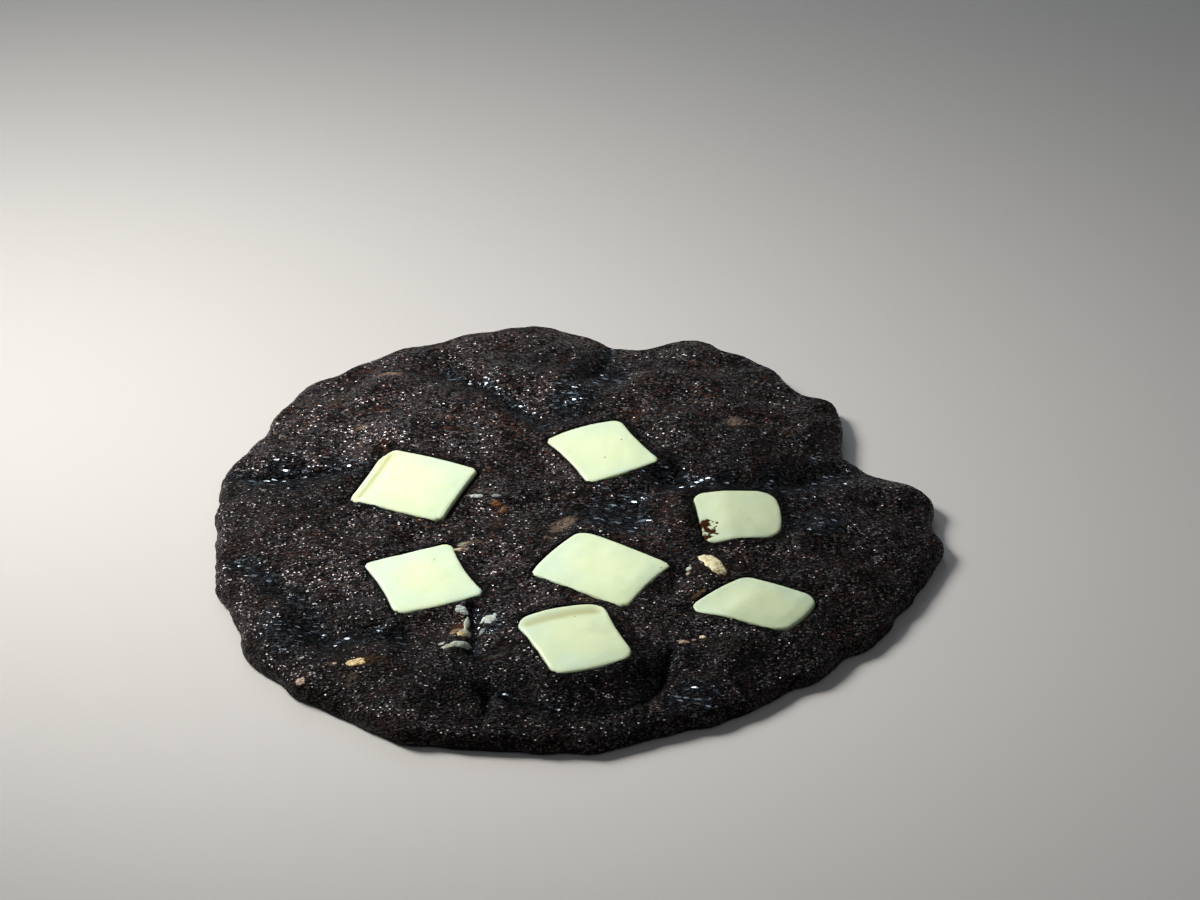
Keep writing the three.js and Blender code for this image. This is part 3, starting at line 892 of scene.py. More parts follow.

# %% [markdown]
# ## Chunks and their pockets
#
# Softened chocolate is never flat, so slow noise makes the top of each chunk wander. Some
# have a trough beside a side, where the fold is painted darker as fat stain and as painted
# shade, and one has a corner that the dough ate into. These places are painted on the
# points, with painted light on the middle of the top, painted shade over the chunk, and
# the sides, which are painted dark below as shade. The pockets are cut by a Boolean
# modifier. It takes a body a hair larger than the chunk out of the dough, so the chunk
# sits in a true hole with a fine dark gap round it. Letting the chunk run through the
# dough would leave no gap to see.

# %% Chunks and pockets
CHUNK_STEPS = 44
CHUNK_STEPS_UP = 12
SIDE_SHADE_START, SIDE_SHADE_FULL = 0.28, 0.5  # how far below the top a side starts and ends being painted dark, as shade
SOFTENING = 0.05  # how far the surface of a softened chunk wanders
SOFTENING_SUNK = 0.03
WANDER = [(3.3, 1.0, 40), (1.7, 0.5, 50)]  # size, height and first seed
UPPER_HALF = 0.5  # share of the height from which the top may wander
MIDDLE_REACH = 0.25  # within this share of its half side the middle has its full painted light
FOLD_FULL = 0.1  # a trough this deep or deeper has a fully darkened fold: stain and painted shade
BITES = [(15.4, -5.1, 2.2), (14.2, -2.9, 0.45)]  # x, y and reach of what the dough ate into
BITE_SQUEEZE = 1.1  # above 1 makes a bite narrower along X
BITE_EDGE = [(1.1, 0.35, 31), (0.55, 0.25, 32)]
BITE_DEPTH = 0.12
BITE_END = (1.0, 0.75)
BITE_UPPER = (0.6, 0.9)  # share of the height over which it starts
TROUGH_ENDS = (1.0, 0.75)  # a trough ends short of the corners
POCKET_GAP = 0.07
POCKET_LIFT = 4.0  # lifts the upper part of the cutting body, which leaves the pocket open
POCKET_STEPS = 16
POCKET_STEPS_UP = 4
SLACK_SHARPNESS = 8  # the larger this is, the nearer to the wall the pocket widens


def trough_drop(chunk, s, t):
    drop = 0 * s
    for side, distance, half_width, depth in chunk.get("troughs", []):
        away = (depth_in_from(side, s, t) - distance) / half_width
        along = t if side in (NEAR_RIGHT, BACK_LEFT) else s
        drop = drop + depth * bell(away) * ease(*TROUGH_ENDS, np.abs(along))
    return drop


def eroded(x, y):
    ragged = layered(soft_noise, x, y, BITE_EDGE)
    bite = 0 * x
    for middle_x, middle_y, reach in BITES:
        away = np.hypot(BITE_SQUEEZE * (x - middle_x), y - middle_y) / reach + ragged
        bite = np.maximum(bite, ease(*BITE_END, away))
    return bite


def make_chunk(number, chunk):
    points, faces, s, t, upper = chunk_shape(chunk, CHUNK_STEPS, CHUNK_STEPS_UP)
    x, y = points[:, 0], points[:, 1]
    wander = layered(soft_noise, x, y, [(size, height, seed + number) for size, height, seed in WANDER])
    trough = trough_drop(chunk, s, t)
    bite = eroded(x, y) * ease(*BITE_UPPER, upper)
    sunk = SOFTENING * wander + SOFTENING_SUNK + trough
    points[:, 2] -= ease(UPPER_HALF, 1, upper) * sunk + BITE_DEPTH * bite
    piece = make_piece(chunk["name"], points, faces)
    paint_points(piece, "bite", bite)
    # the fold: fat stain and painted shade in the trough
    paint_points(piece, "fold", trough / max(trough.max(), FOLD_FULL))
    # painted light: the middle of the top is brighter and yellower
    paint_points(piece, "middle", ease(1.0, MIDDLE_REACH, np.hypot(s, t)) * (upper > UPPER_HALF))
    # painted shade: the whole chunk darker, and darker still to its near right
    paint_points(piece, "painted_light_share", chunk.get("painted_light_share", 1.0) - chunk.get("painted_shade_falls", 0.0) * s)
    # painted shade: the side is dark below the top
    depth_below = (1 - upper) * BLOCK_THICKNESS
    paint_points(piece, "shaded_side", ease(SIDE_SHADE_START, SIDE_SHADE_FULL, depth_below))
    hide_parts(chunk["node"])
    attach(piece, "root")
    return piece


def cut_pocket(piece, chunk):
    grid = (POCKET_STEPS, POCKET_STEPS_UP)
    points, faces, s, _, _ = chunk_shape(chunk, *grid, POCKET_GAP, POCKET_LIFT)
    slack_x, slack_y = chunk.get("slack", (0.0, 0.0))
    beside = np.clip(s, 0, 1) ** SLACK_SHARPNESS
    points[:, 0] += slack_x * beside
    points[:, 1] += slack_y * beside
    pocket = make_piece("pocket", points, faces)
    cut = piece.modifiers.new("pocket", "BOOLEAN")
    cut.operation = "DIFFERENCE"
    cut.solver = "MANIFOLD"
    cut.object = pocket
    bpy.context.view_layer.objects.active = piece
    bpy.ops.object.modifier_apply(modifier=cut.name)
    bpy.data.objects.remove(pocket)


chunk_pieces = [make_chunk(number, chunk) for number, chunk in enumerate(CHUNKS)]
for chunk in CHUNKS:
    cut_pocket(dough, chunk)
dough.data.materials.clear()  # the Boolean left an empty material slot
print("chunks:", len(chunk_pieces), "with", len(chunk_pieces[0].data.polygons), "faces each")
print("dough after the pockets are cut:", len(dough.data.polygons), "faces")

# %% [markdown]
# ## Stains and shade on the dough
#
# Melted white chocolate, caramelised sugar and fat left stains: cream, golden, rusty and
# milky brown streaks. Each is an oval with a direction and a colour. They are painted as
# a colour layer on the points of the mesh, and the alpha of that layer says how strongly.
# The material then breaks the edges up with its own crumb, so that no oval shows. A
# second layer of large soft ovals is painted light and shade: darker where less light
# falls on the cookie and brighter where more falls, and it paints shade into the creases.

# %% Stains and shade
CREAM = (0.40, 0.38, 0.27)
GOLDEN = (0.20, 0.11, 0.04)
ORANGE = (0.24, 0.10, 0.035)
RUST = (0.07, 0.028, 0.014)
MILKY = (0.22, 0.16, 0.12)
GREY = (0.10, 0.09, 0.078)
OLIVE = (0.06, 0.052, 0.03)
PALE_PINK = (0.16, 0.105, 0.08)

STAINS = [  # x, y, length, width, direction in degrees, colour, strength
    (-12.8, -9.1, 4.2, 0.9, 4, PALE_PINK, 0.8),
    (-13.9, -9.3, 2.0, 0.7, 0, CREAM, 0.8),
    (-10.1, -0.3, 1.5, 1.2, -20, ORANGE, 1.0),
    (-9.2, -1.4, 1.5, 1.2, 40, ORANGE, 0.8),
    (-9.6, -4.5, 4.5, 1.5, 75, RUST, 0.6),
    (-12.2, 2.4, 1.7, 0.8, -12, GREY, 1.0),
    (-10.7, 1.9, 3.4, 0.9, -12, GREY, 0.75),
    (-8.9, 1.3, 1.8, 0.9, -10, GREY, 0.7),
    (-1.8, -4.0, 5.0, 2.2, 48, MILKY, 1.0),
    (-3.6, -7.0, 1.8, 0.9, 20, MILKY, 0.8),
    (-24, 30.4, 4.2, 1.4, 2, MILKY, 0.9),
    (-27, 17.8, 3.0, 2.2, 20, MILKY, 0.6),
    (19.6, 18.5, 3.2, 2.6, 0, MILKY, 0.8),
    (-17, 19.6, 3.4, 1.4, 10, MILKY, 0.5),
    (-14.2, -25.6, 3.2, 2.4, 80, RUST, 0.9),
    (-13.6, -28.6, 3.4, 1.8, 20, RUST, 0.6),
    (-9.5, -31.2, 3.3, 1.1, 18, GREY, 0.85),
    (-29.6, -30.9, 2.4, 1.2, -15, MILKY, 0.7),
    (-25.2, -31.3, 5.2, 2.0, -8, GOLDEN, 0.7),
    (-26.8, -33.6, 1.8, 3.0, -20, MILKY, 0.7),
    (-23.4, -31.6, 2.4, 1.2, -10, RUST, 0.9),
    (16.5, -13.4, 6.2, 3.2, -56, RUST, 0.75),
    (13.8, -13.9, 2.4, 1.8, 60, RUST, 0.45),
    (14.1, -27.2, 4.4, 1.7, 26, RUST, 0.55),
    (15.0, -33.7, 2.8, 0.7, 4, OLIVE, 1.0),
    (19.7, -32.9, 2.0, 0.8, -10, GREY, 0.7),
    (-17.4, -19.0, 1.0, 0.6, 30, MILKY, 0.5),
    (16.8, -23.2, 2.2, 0.6, -10, OLIVE, 0.6),
    (14.6, -18.6, 3.2, 0.7, 40, GOLDEN, 0.8),
    (24.6, 12.5, 3.0, 1.6, 25, MILKY, 0.4),
    (-33, 20.5, 3.2, 1.6, 35, MILKY, 0.4),
    (-3.4, 33.5, 3.4, 1.5, 10, MILKY, 0.35),
]

# painted light and shade over the top of the dough, in soft ovals
SHADES = [  # x, y, length, width, direction, share of the light kept back (below 0: added)
    (38, -4, 56, 62, 0, 0.35),
    (22, 10, 30, 12, 8, 0.3),
    (-28, -27, 34, 20, -35, 0.55),
    (-40, -12, 12, 16, 0, 0.35),
    (0, 33, 20, 9, 0, 0.4),
    (0, 22, 10, 12, -60, 0.3),
    (17, -30, 28, 14, 15, 0.35),
    (-6, -38, 34, 12, 5, 0.55),
    (16, -2, 12, 6, 0, 0.3),
    (14, -12, 10, 12, 0, 0.25),
    (0, -2, 8, 6, 0, 0.25),
    (-24, 16, 34, 22, 10, -0.35),
    (-8, 28, 9, 7, -40, -0.35),
    (7, 22, 12, 8, 0, -0.25),
    (2, -20, 8, 6, 0, -0.2),
    (-2, -34, 60, 16, 0, 0.5),
    (-4, -43, 56, 8, 3, 0.45),
    (0, -8, 24, 20, 0, 0.1),
    (-34, 0, 26, 24, 0, 0.42),
    (38, 2, 20, 30, 0, -0.25),
]
STAIN_EDGE = (1.5, 0.4)  # an oval has no colour beyond the first reach, all within the second
SHADE_EDGE = (1.3, 0.3)
CREASE_SHADE = 0.65
CREASE_SHADE_WIDTH = 0.9


def inside_oval(x, y, middle_x, middle_y, length, width, direction, edge):
    cosine, sine = math.cos(direction * DEGREE), math.sin(direction * DEGREE)
    along = ((x - middle_x) * cosine + (y - middle_y) * sine) / (length / 2)
    across = ((y - middle_y) * cosine - (x - middle_x) * sine) / (width / 2)
    return ease(*edge, np.hypot(along, across))


def shade_layer(x, y):
    light = 1 + 0 * x
    for *oval, kept_back in SHADES:
        light = light * (1 - kept_back * inside_oval(x, y, *oval, SHADE_EDGE))
    # painted shade along each crease
    for crease in CREASES:
        away = nearest_on_path(x, y, crease["through"])[0] / (CREASE_SHADE_WIDTH * crease["half_width"])
        light = light * (1 - CREASE_SHADE * bell(away))
    return light


def stain_layer(x, y):
    colour = np.zeros((len(x), 4))
    for *oval, tint, strength in STAINS:
        amount = strength * inside_oval(x, y, *oval, STAIN_EDGE)
        colour[:, :3] += amount[:, None] * (np.array(tint) - colour[:, :3])
        colour[:, 3] = np.maximum(colour[:, 3], amount)
    return colour


test_light = shade_layer(test_line, 0 * test_line)
print(len(STAINS), "stains; right of the middle %.2f of the light is kept" % test_light.mean())

# %% [markdown]
# ## Finish the dough
#
# A narrow dark line is painted into the dough round each chunk: fat from the chunk
# seeped in there, and the line is painted shade where chunk and dough meet. The rim and
# underside baked harder than the rest. Both are painted on the points as well, since they
# follow the shape, and a texture alone wouldn't know where that is.

# %% Finish the dough
SOAK_AND_SHADE_WIDTH = 0.55  # the dark line of fat and painted shade reaches about this far round a chunk
TOP_FROM = 2.0  # above this height a point belongs to the top
PORES_UP_TO = 0.25  # below this height it belongs to the underside, pores and all
ON_THE_FLOOR = 0.05
BAKED_FROM = 0.93  # share of the radius
UNDERSIDE_SHARE = 0.99


# a dark line round each chunk: fat that seeped in, and painted shade where they meet
def soaked_and_contact_shade(x, y):
    soak_and_shade = 0 * x
    for chunk in CHUNKS:
        away, _ = nearest_on_path(x, y, chunk_edge(chunk))
        soak_and_shade = np.maximum(soak_and_shade, bell(away / chunk.get("soak_and_shade_width", SOAK_AND_SHADE_WIDTH)))
    return soak_and_shade


def baked(x, y, z):
    share = share_of_radius(x, y)
    underside = (z <= PORES_UP_TO) * (share < UNDERSIDE_SHARE)
    return ease(BAKED_FROM, 1.0, share) * (z > ON_THE_FLOOR) + 1.0 * underside


def finish_dough(piece):
    x, y, z = points_of(piece).T
    on_top = z > TOP_FROM
    stain = stain_layer(x, y)
    stain[:, 3] *= on_top
    paint_points(piece, "stain", stain)
    # painted light and shade, in soft ovals and along the creases
    paint_points(piece, "shade", shade_layer(x, y))
    # wet dough, with painted shade in the grooves and hollows
    paint_points(piece, "wet_and_hollow_shade", wet_and_hollow_shade(x, y) * on_top)
    # fat that seeped in, and painted shade where a chunk meets the dough
    paint_points(piece, "soaked_and_contact_shade", soaked_and_contact_shade(x, y) * on_top)
    paint_points(piece, "baked_edge", baked(x, y, z))
    shade_smooth(piece.data)
    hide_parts("cookie")
    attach(piece, "root")


finish_dough(dough)
print("the dough reaches up to %.2f mm" % points_of(dough)[:, 2].max())

# %% [markdown]
# ## Flakes
#
# A flake is a thin, ragged scrap of white chocolate, half sunk into the dough. Some have
# toasted to straw and amber, and some are dusted with crumb. Each one is a ball pressed
# flat, with an outline that wanders in and out. They are all joined in one piece, because
# they share a material and none of them is ever handled alone.

# %% Flakes
BLUE_WHITE = (0.50, 0.60, 0.55)
GREY_WHITE = (0.44, 0.50, 0.41)
WARM_GREY = (0.50, 0.47, 0.32)
DUSTY = (0.17, 0.19, 0.20)
WARM_CREAM = (0.84, 0.76, 0.46)
STRAW = (0.66, 0.50, 0.22)
AMBER = (0.15, 0.08, 0.025)
PINK_WHITE = (0.38, 0.28, 0.21)
PALE_GOLD = (0.55, 0.43, 0.30)

FLAKES = [  # x, y, length, width, direction in degrees, height over the dough, colour
    (16.4, -13.3, 4.8, 2.3, -57, 0.24, WARM_CREAM),
    (15.3, -11.7, 1.5, 1.2, -20, 0.14, WARM_CREAM),
    (13.5, -13.7, 0.8, 0.7, 20, 0.14, GREY_WHITE),
    (13.4, -14.6, 0.7, 0.6, 60, 0.07, PINK_WHITE),
    (-13.9, -22.0, 1.7, 1.1, -30, 0.11, BLUE_WHITE),
    (-13.3, -24.6, 3.4, 0.7, 84, 0.18, GREY_WHITE),
    (-13.5, -26.8, 1.7, 1.5, 30, 0.17, WARM_GREY),
    (-13.9, -27.1, 1.5, 1.3, 20, 0.14, STRAW),
    (-14.4, -26.7, 1.8, 1.6, 40, 0.11, AMBER),
    (-14.3, -29.2, 3.8, 1.2, 20, 0.1, GREY_WHITE),
    (-16.2, -29.0, 0.9, 0.5, 20, 0.084, GREY_WHITE),
    (-10.6, -24.2, 2.1, 1.5, -10, 0.12, BLUE_WHITE),
    (-9.9, -23.6, 0.7, 0.6, 80, 0.14, BLUE_WHITE),
    (-11.4, -26.1, 1.1, 0.8, 40, 0.098, DUSTY),
    (-26.4, -31.3, 2.6, 1.1, -6, 0.084, STRAW),
    (-32.9, -33.4, 1.2, 1.0, 0, 0.084, PINK_WHITE),
    (-28.9, -30.9, 0.6, 0.5, 0, 0.098, PINK_WHITE),
    (12.7, -27.9, 1.6, 0.9, 20, 0.084, PINK_WHITE),
    (13.9, -27.3, 1.0, 0.5, 30, 0.07, PINK_WHITE),
    (15.0, -26.5, 0.9, 0.7, 10, 0.14, WARM_CREAM),
    (-12.4, 1.4, 1.8, 0.7, -8, 0.098, BLUE_WHITE),
    (-10.0, 0.9, 1.4, 0.6, -12, 0.07, DUSTY),
    (-14.3, -10.2, 1.7, 0.6, 0, 0.084, PALE_GOLD),
    (-9.2, -1.3, 0.9, 0.7, 40, 0.07, AMBER),
]
FLAKE_SUNK = 0.35
FLAKE_EDGE_BELOW = 0.1
FLAKE_OUTLINE = [(0.9, 0.26, 60), (0.35, 0.2, 90)]  # size, height and first seed
CALM_WIDTH = 1.2  # a flake wider than this is the less ragged for its size
AWAY_FROM_ZERO = 2  # keeps the outline's noise off the corner of the lattice
FLAKE_LUMPS, FLAKE_GRIT = (0.8, 0.07, 120), (0.4, 0.04, 150)
BALL_STEPS = 5


def flake_outline(number, around, width):
    calm = min(1.0, CALM_WIDTH / width)
    ragged = 1
    for size, height, seed in FLAKE_OUTLINE:
        noise_x, noise_y = AWAY_FROM_ZERO + np.cos(around), AWAY_FROM_ZERO + np.sin(around)
        ragged = ragged + height * calm * soft_noise(noise_x, noise_y, size, seed + number)
    return ragged


def flake_shape(number, flake, ball):
    x, y, length, width, direction, height, _ = flake
    cosine, sine = math.cos(direction * DEGREE), math.sin(direction * DEGREE)
    ragged = flake_outline(number, np.arctan2(ball[:, 1], ball[:, 0]), width)
    along, across = ball[:, 0] * ragged * length / 2, ball[:, 1] * ragged * width / 2
    place_x = x + along * cosine - across * sine
    place_y = y + along * sine + across * cosine
    lump_size, lump_height, seed = FLAKE_LUMPS
    lumps = (lump_size, lump_height, seed + number)
    rough = layered(soft_noise, place_x, place_y, [lumps, FLAKE_GRIT])
    upper, lower = np.maximum(ball[:, 2], 0), np.maximum(-ball[:, 2], 0)
    lift = upper * (height + FLAKE_EDGE_BELOW + rough) - FLAKE_EDGE_BELOW - lower * FLAKE_SUNK
    return np.column_stack([place_x, place_y, smooth_height(place_x, place_y) + lift])


def make_flakes():
    bpy.ops.mesh.primitive_ico_sphere_add(subdivisions=BALL_STEPS, radius=1)
    source = bpy.context.object
    ball = points_of(source) * MM
    corners = [tuple(face.vertices) for face in source.data.polygons]
    bpy.data.objects.remove(source)
    points, faces, tints = [], [], []
    for number, flake in enumerate(FLAKES):
        faces += [[k + len(ball) * number for k in face] for face in corners]
        points.append(flake_shape(number, flake, ball))
        tints.append(np.tile((*flake[6], 1.0), (len(ball), 1)))
    piece = make_piece("white_flakes", np.concatenate(points), faces)
    paint_points(piece, "flake_tint", np.concatenate(tints))
    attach(piece, "root")
    return piece


flakes = make_flakes()
print("flakes:", len(FLAKES), "with", len(flakes.data.polygons), "faces in all")

# %% [markdown]
# ## Short words for nodes
#
# A material is a small network of nodes. Made by hand in the editor, each node takes a few
# clicks, and made in code a few lines. These helpers bring that down to one: `put` makes a
# node and joins or sets its inputs, `reckon` does a sum, `above` turns a value into a soft
# mask, and the blends mix two values, normals or colours by an amount.

# %% Node helpers
MIX_SOCKETS = {"FLOAT": (2, 3, 0), "VECTOR": (4, 5, 1), "RGBA": (6, 7, 2)}


def put(tree, kind, inputs=None, **settings):
    node = tree.nodes.new(kind)
    for name, value in settings.items():
        setattr(node, name, value)
    for name, value in (inputs or {}).items():
        socket = node.inputs[name]
        if isinstance(value, bpy.types.NodeSocket):
            tree.links.new(value, socket)
        else:
            socket.default_value = value
    return node


def reckon(tree, operation, first, second, clamp=False):
    sockets = {0: first, 1: second}
    return put(tree, "ShaderNodeMath", sockets, operation=operation, use_clamp=clamp).outputs[0]


def times(tree, first, second):
    return reckon(tree, "MULTIPLY", first, second)


def plus(tree, first, second):
    return reckon(tree, "ADD", first, second)


def reckon_vector(tree, operation, first, second):
    return put(tree, "ShaderNodeVectorMath", {0: first, 1: second}, operation=operation).outputs[0]


def scaled(tree, vector, factor):
    return put(tree, "ShaderNodeVectorMath", {0: vector, "Scale": factor}, operation="SCALE").outputs[0]


def spread(tree, value, low, high):
    return put(tree, "ShaderNodeMapRange", {"Value": value, "To Min": low, "To Max": high}).outputs[0]


def above(tree, value, start, end):
    sockets = {"Value": value, "From Min": start, "From Max": end}
    return put(tree, "ShaderNodeMapRange", sockets, interpolation_type="SMOOTHSTEP").outputs["Result"]


def blend(tree, kind, amount, first, second):
    first_socket, second_socket, result = MIX_SOCKETS[kind]
    sockets = {0: amount, first_socket: first, second_socket: second}
    return put(tree, "ShaderNodeMix", sockets, data_type=kind).outputs[result]


def blend_colours(tree, amount, first, second):
    first, second = ((*tint, 1.0) if isinstance(tint, tuple) else tint for tint in (first, second))
    return blend(tree, "RGBA", amount, first, second)


def bump_normal(tree, height, distance):
    sockets = {"Height": height, "Distance": distance, "Strength": 1.0}
    return put(tree, "ShaderNodeBump", sockets).outputs["Normal"]


def painted(tree, name, output="Fac"):
    return put(tree, "ShaderNodeAttribute", attribute_name=name).outputs[output]


print("kinds of blend:", ", ".join(MIX_SOCKETS))

# %% [markdown]
# ## Shared effects
#
# An effect that more than one material needs is built once as a node group, with named
# inputs and outputs, and is then placed in each material with its own values. Here these
# are the grain of crumb, soft mottling and the fine pinholes that air leaves in
# chocolate. Grains and pinholes come from a Voronoi texture, which cuts space into cells
# and gives each point its distance from the middle of its own cell.

# %% Shader groups
GRAIN_STRETCH = (0.5, 1.0, 1.0)  # below 1 draws the pattern out along X
GRAIN_WAVER = (0.00022, 0.00022, 0.00022)  # metres that the edges of the grains wander
WAVER_SCALE = 2600.0
GRAIN_FOOT = 0.8  # distance, in cells, at which a grain has no height left
PINHOLE_DARK_SHARE = 0.4  # share of a pinhole's width that is fully dark


def new_group(name, inputs, outputs):
    group = bpy.data.node_groups.new(name, "ShaderNodeTree")
    for socket_name, value in inputs.items():
        kind = "NodeSocketVector" if value is None else "NodeSocketFloat"
        socket = group.interface.new_socket(name=socket_name, in_out="INPUT", socket_type=kind)
        if value is not None:
            socket.default_value = value
    for socket_name in outputs:
        kind = "NodeSocketVector" if socket_name == "Normal" else "NodeSocketFloat"
        group.interface.new_socket(name=socket_name, in_out="OUTPUT", socket_type=kind)
    given, result = group.nodes.new("NodeGroupInput"), group.nodes.new("NodeGroupOutput")
    return group, given.outputs, result.inputs


def crumb_grain_group():
    inputs = {"Place": None, "Grains per Metre": 2000.0}
    group, given, result = new_group("crumb grain", inputs, ["Height", "Grain Value", "Gloss Value"])
    drawn_out = reckon_vector(group, "MULTIPLY", given["Place"], GRAIN_STRETCH)
    sockets = {"Vector": given["Place"], "Scale": WAVER_SCALE, "Detail": 1.0}
    waver = put(group, "ShaderNodeTexNoise", sockets).outputs["Color"]
    shift = reckon_vector(group, "MULTIPLY", waver, GRAIN_WAVER)
    bent = reckon_vector(group, "ADD", drawn_out, shift)
    cells = put(group, "ShaderNodeTexVoronoi", {"Vector": bent, "Scale": given["Grains per Metre"]})
    chances = put(group, "ShaderNodeSeparateColor", {"Color": cells.outputs["Color"]})
    group.links.new(above(group, cells.outputs["Distance"], GRAIN_FOOT, 0.0), result["Height"])
    group.links.new(chances.outputs["Red"], result["Grain Value"])
    group.links.new(chances.outputs["Green"], result["Gloss Value"])
    return group


def mottling_group():
    inputs = {"Place": None, "Patches per Metre": 200.0, "Low": 0.35, "High": 0.65}
    group, given, result = new_group("soft mottling", inputs, ["Amount"])
    sockets = {"Vector": given["Place"], "Scale": given["Patches per Metre"], "Detail": 3.0}
    noise = put(group, "ShaderNodeTexNoise", sockets).outputs["Fac"]
    group.links.new(above(group, noise, given["Low"], given["High"]), result["Amount"])
    return group


def pinhole_group():
    inputs = {"Place": None, "Holes per Metre": 350.0, "Size": 0.06}
    group, given, result = new_group("pinholes", inputs, ["Mask"])
    sockets = {"Vector": given["Place"], "Scale": given["Holes per Metre"]}
    away = put(group, "ShaderNodeTexVoronoi", sockets).outputs["Distance"]
    dark_part = times(group, given["Size"], PINHOLE_DARK_SHARE)
    group.links.new(above(group, away, given["Size"], dark_part), result["Mask"])
    return group


CRUMB_GRAIN = crumb_grain_group()
MOTTLING = mottling_group()
PINHOLES = pinhole_group()
print("shader groups:", ", ".join(group.name for group in bpy.data.node_groups))

# %% [markdown]
# ## Bright facets
#
# A crystal of sugar or a bead of fat shines as one flat face. Noise in a bump has no flat
# faces, so the shine would be a blur. Here each cell of a pattern gets one normal, turned
# by the cell's own random colour, and a share of the cells is masked out to shine.

# %% Facet group
FACET_STRETCH = (0.6, 1.0, 1.0)
MIDDLE_COLOUR = (0.5, 0.5, 0.5)  # taken away, so that facets lean to all sides alike
FACET_EDGE = (0.75, 0.45)  # distances, in cells, where a facet ends and is whole


def facet_group():
    inputs = {"Place": None, "Facets per Metre": 3000.0, "Tilt": 1.0, "Share": 0.5}
    group, given, result = new_group("bright facets", inputs, ["Normal", "Mask"])
    drawn_out = reckon_vector(group, "MULTIPLY", given["Place"], FACET_STRETCH)
    sockets = {"Vector": drawn_out, "Scale": given["Facets per Metre"]}
    cells = put(group, "ShaderNodeTexVoronoi", sockets).outputs
    lean = reckon_vector(group, "SUBTRACT", cells["Color"], MIDDLE_COLOUR)
    outwards = group.nodes.new("ShaderNodeNewGeometry").outputs["Normal"]
    leaning = reckon_vector(group, "ADD", outwards, scaled(group, lean, given["Tilt"]))
    unit = put(group, "ShaderNodeVectorMath", {0: leaning}, operation="NORMALIZE").outputs[0]
    chance = put(group, "ShaderNodeTexWhiteNoise", {"Vector": cells["Position"]}).outputs["Value"]
    chosen = reckon(group, "LESS_THAN", chance, given["Share"])
    group.links.new(unit, result["Normal"])
    group.links.new(times(group, chosen, above(group, cells["Distance"], *FACET_EDGE)), result["Mask"])
    return group


BRIGHT_FACETS = facet_group()
print("sockets of the facets:", ", ".join(item.name for item in BRIGHT_FACETS.interface.items_tree))

# %% [markdown]
# ## Placing a group
#
# A group that is placed in a material is a node like any other, with its own values. Each
# pattern is measured in the object's own coordinates, in metres, so grains have the same
# size on every piece and need no unwrapping.

# %% Groups in a material
def place_group(tree, group, inputs):
    return put(tree, "ShaderNodeGroup", inputs, node_tree=group).outputs


def grain(tree, place, grains):
    return place_group(tree, CRUMB_GRAIN, {"Place": place, "Grains per Metre": grains})


def mottled(tree, place, patches, low, high):
    inputs = {"Place": place, "Patches per Metre": patches, "Low": low, "High": high}
    return place_group(tree, MOTTLING, inputs)["Amount"]


def pinholes(tree, place, holes, size):
    return place_group(tree, PINHOLES, {"Place": place, "Holes per Metre": holes, "Size": size})["Mask"]


def new_material(name):
    material = bpy.data.materials.new(name)
    material.use_nodes = True
    tree = material.node_tree
    tree.nodes.clear()
    surface = tree.nodes.new("ShaderNodeBsdfPrincipled")
    output = tree.nodes.new("ShaderNodeOutputMaterial")
    tree.links.new(surface.outputs[0], output.inputs["Surface"])
    place = tree.nodes.new("ShaderNodeTexCoord").outputs["Object"]
    return material, tree, surface.inputs, place


print("groups ready to be placed:", len(bpy.data.node_groups))

# %% [markdown]
# ## The colour of the dough
#
# The dough is close to black with brown in it. One flat colour would look like plastic.
# So the colour goes from black to brown in soft patches, and single grains are brown or
# pale, the pale ones partly painted glints. The gap between two grains is painted dark as
# shade, and their tops a little lighter as painted light. The layers painted on the points
# say where it is wet, with painted shade in grooves and hollows, where it baked hard, where
# fat and painted shade line the chunks, and where the stains lie over all that. Noise
# and grain are added to a stain's strength before it is cut off, so that its edge is ragged.

# %% Dough colour
BLACK_DOUGH = (0.0022, 0.0013, 0.0011)
BROWN_DOUGH = (0.088, 0.034, 0.019)
BROWN_GRAIN = (0.14, 0.060, 0.036)
PALE_GRAIN_GLINT = (0.30, 0.285, 0.28)
PAINTED_TINTS = [  # layer, strength, colour
    # wet dough, and painted shade in the grooves and hollows
    ("wet_and_hollow_shade", 0.75, (0.0014, 0.0014, 0.0016)),
    ("baked_edge", 0.6, (0.0150, 0.0092, 0.0076)),
    # fat that seeped in, and painted shade where a chunk meets the dough
    ("soaked_and_contact_shade", 0.9, (0.0030, 0.0034, 0.0017)),
]
BROWN_PATCHES = (150.0, 0.35, 0.65)  # patches in a metre, and where in the noise they start and end
BROWN_SPECKS = (800.0, 0.4, 0.7)
BROWN_SWING, BROWN_LEAST = 0.9, 0.12
BROWN_GRAINS, BROWN_GRAIN_AMOUNT = (0.82, 0.92), 0.5  # from which random value a grain is brown
PALE_GLINT_GRAINS, PALE_GLINT_AMOUNT = (0.84, 1.0), 0.8
GAP_LIGHT, GRAIN_LIGHT = 0.05, 1.15  # painted shade in the gaps and painted light on the tops of grains: what each keeps of the colour
STAIN_GAIN, STAIN_RAGGED, STAIN_GRAIN = 1.6, 0.6, 0.35
STAIN_SPECKS = (1300.0, 0.3, 0.7)
STAIN_RAMP = (0.7, 2.0)
STAIN_FAINT = (0.02, 0.2)  # below this a stain has no speckle of its own


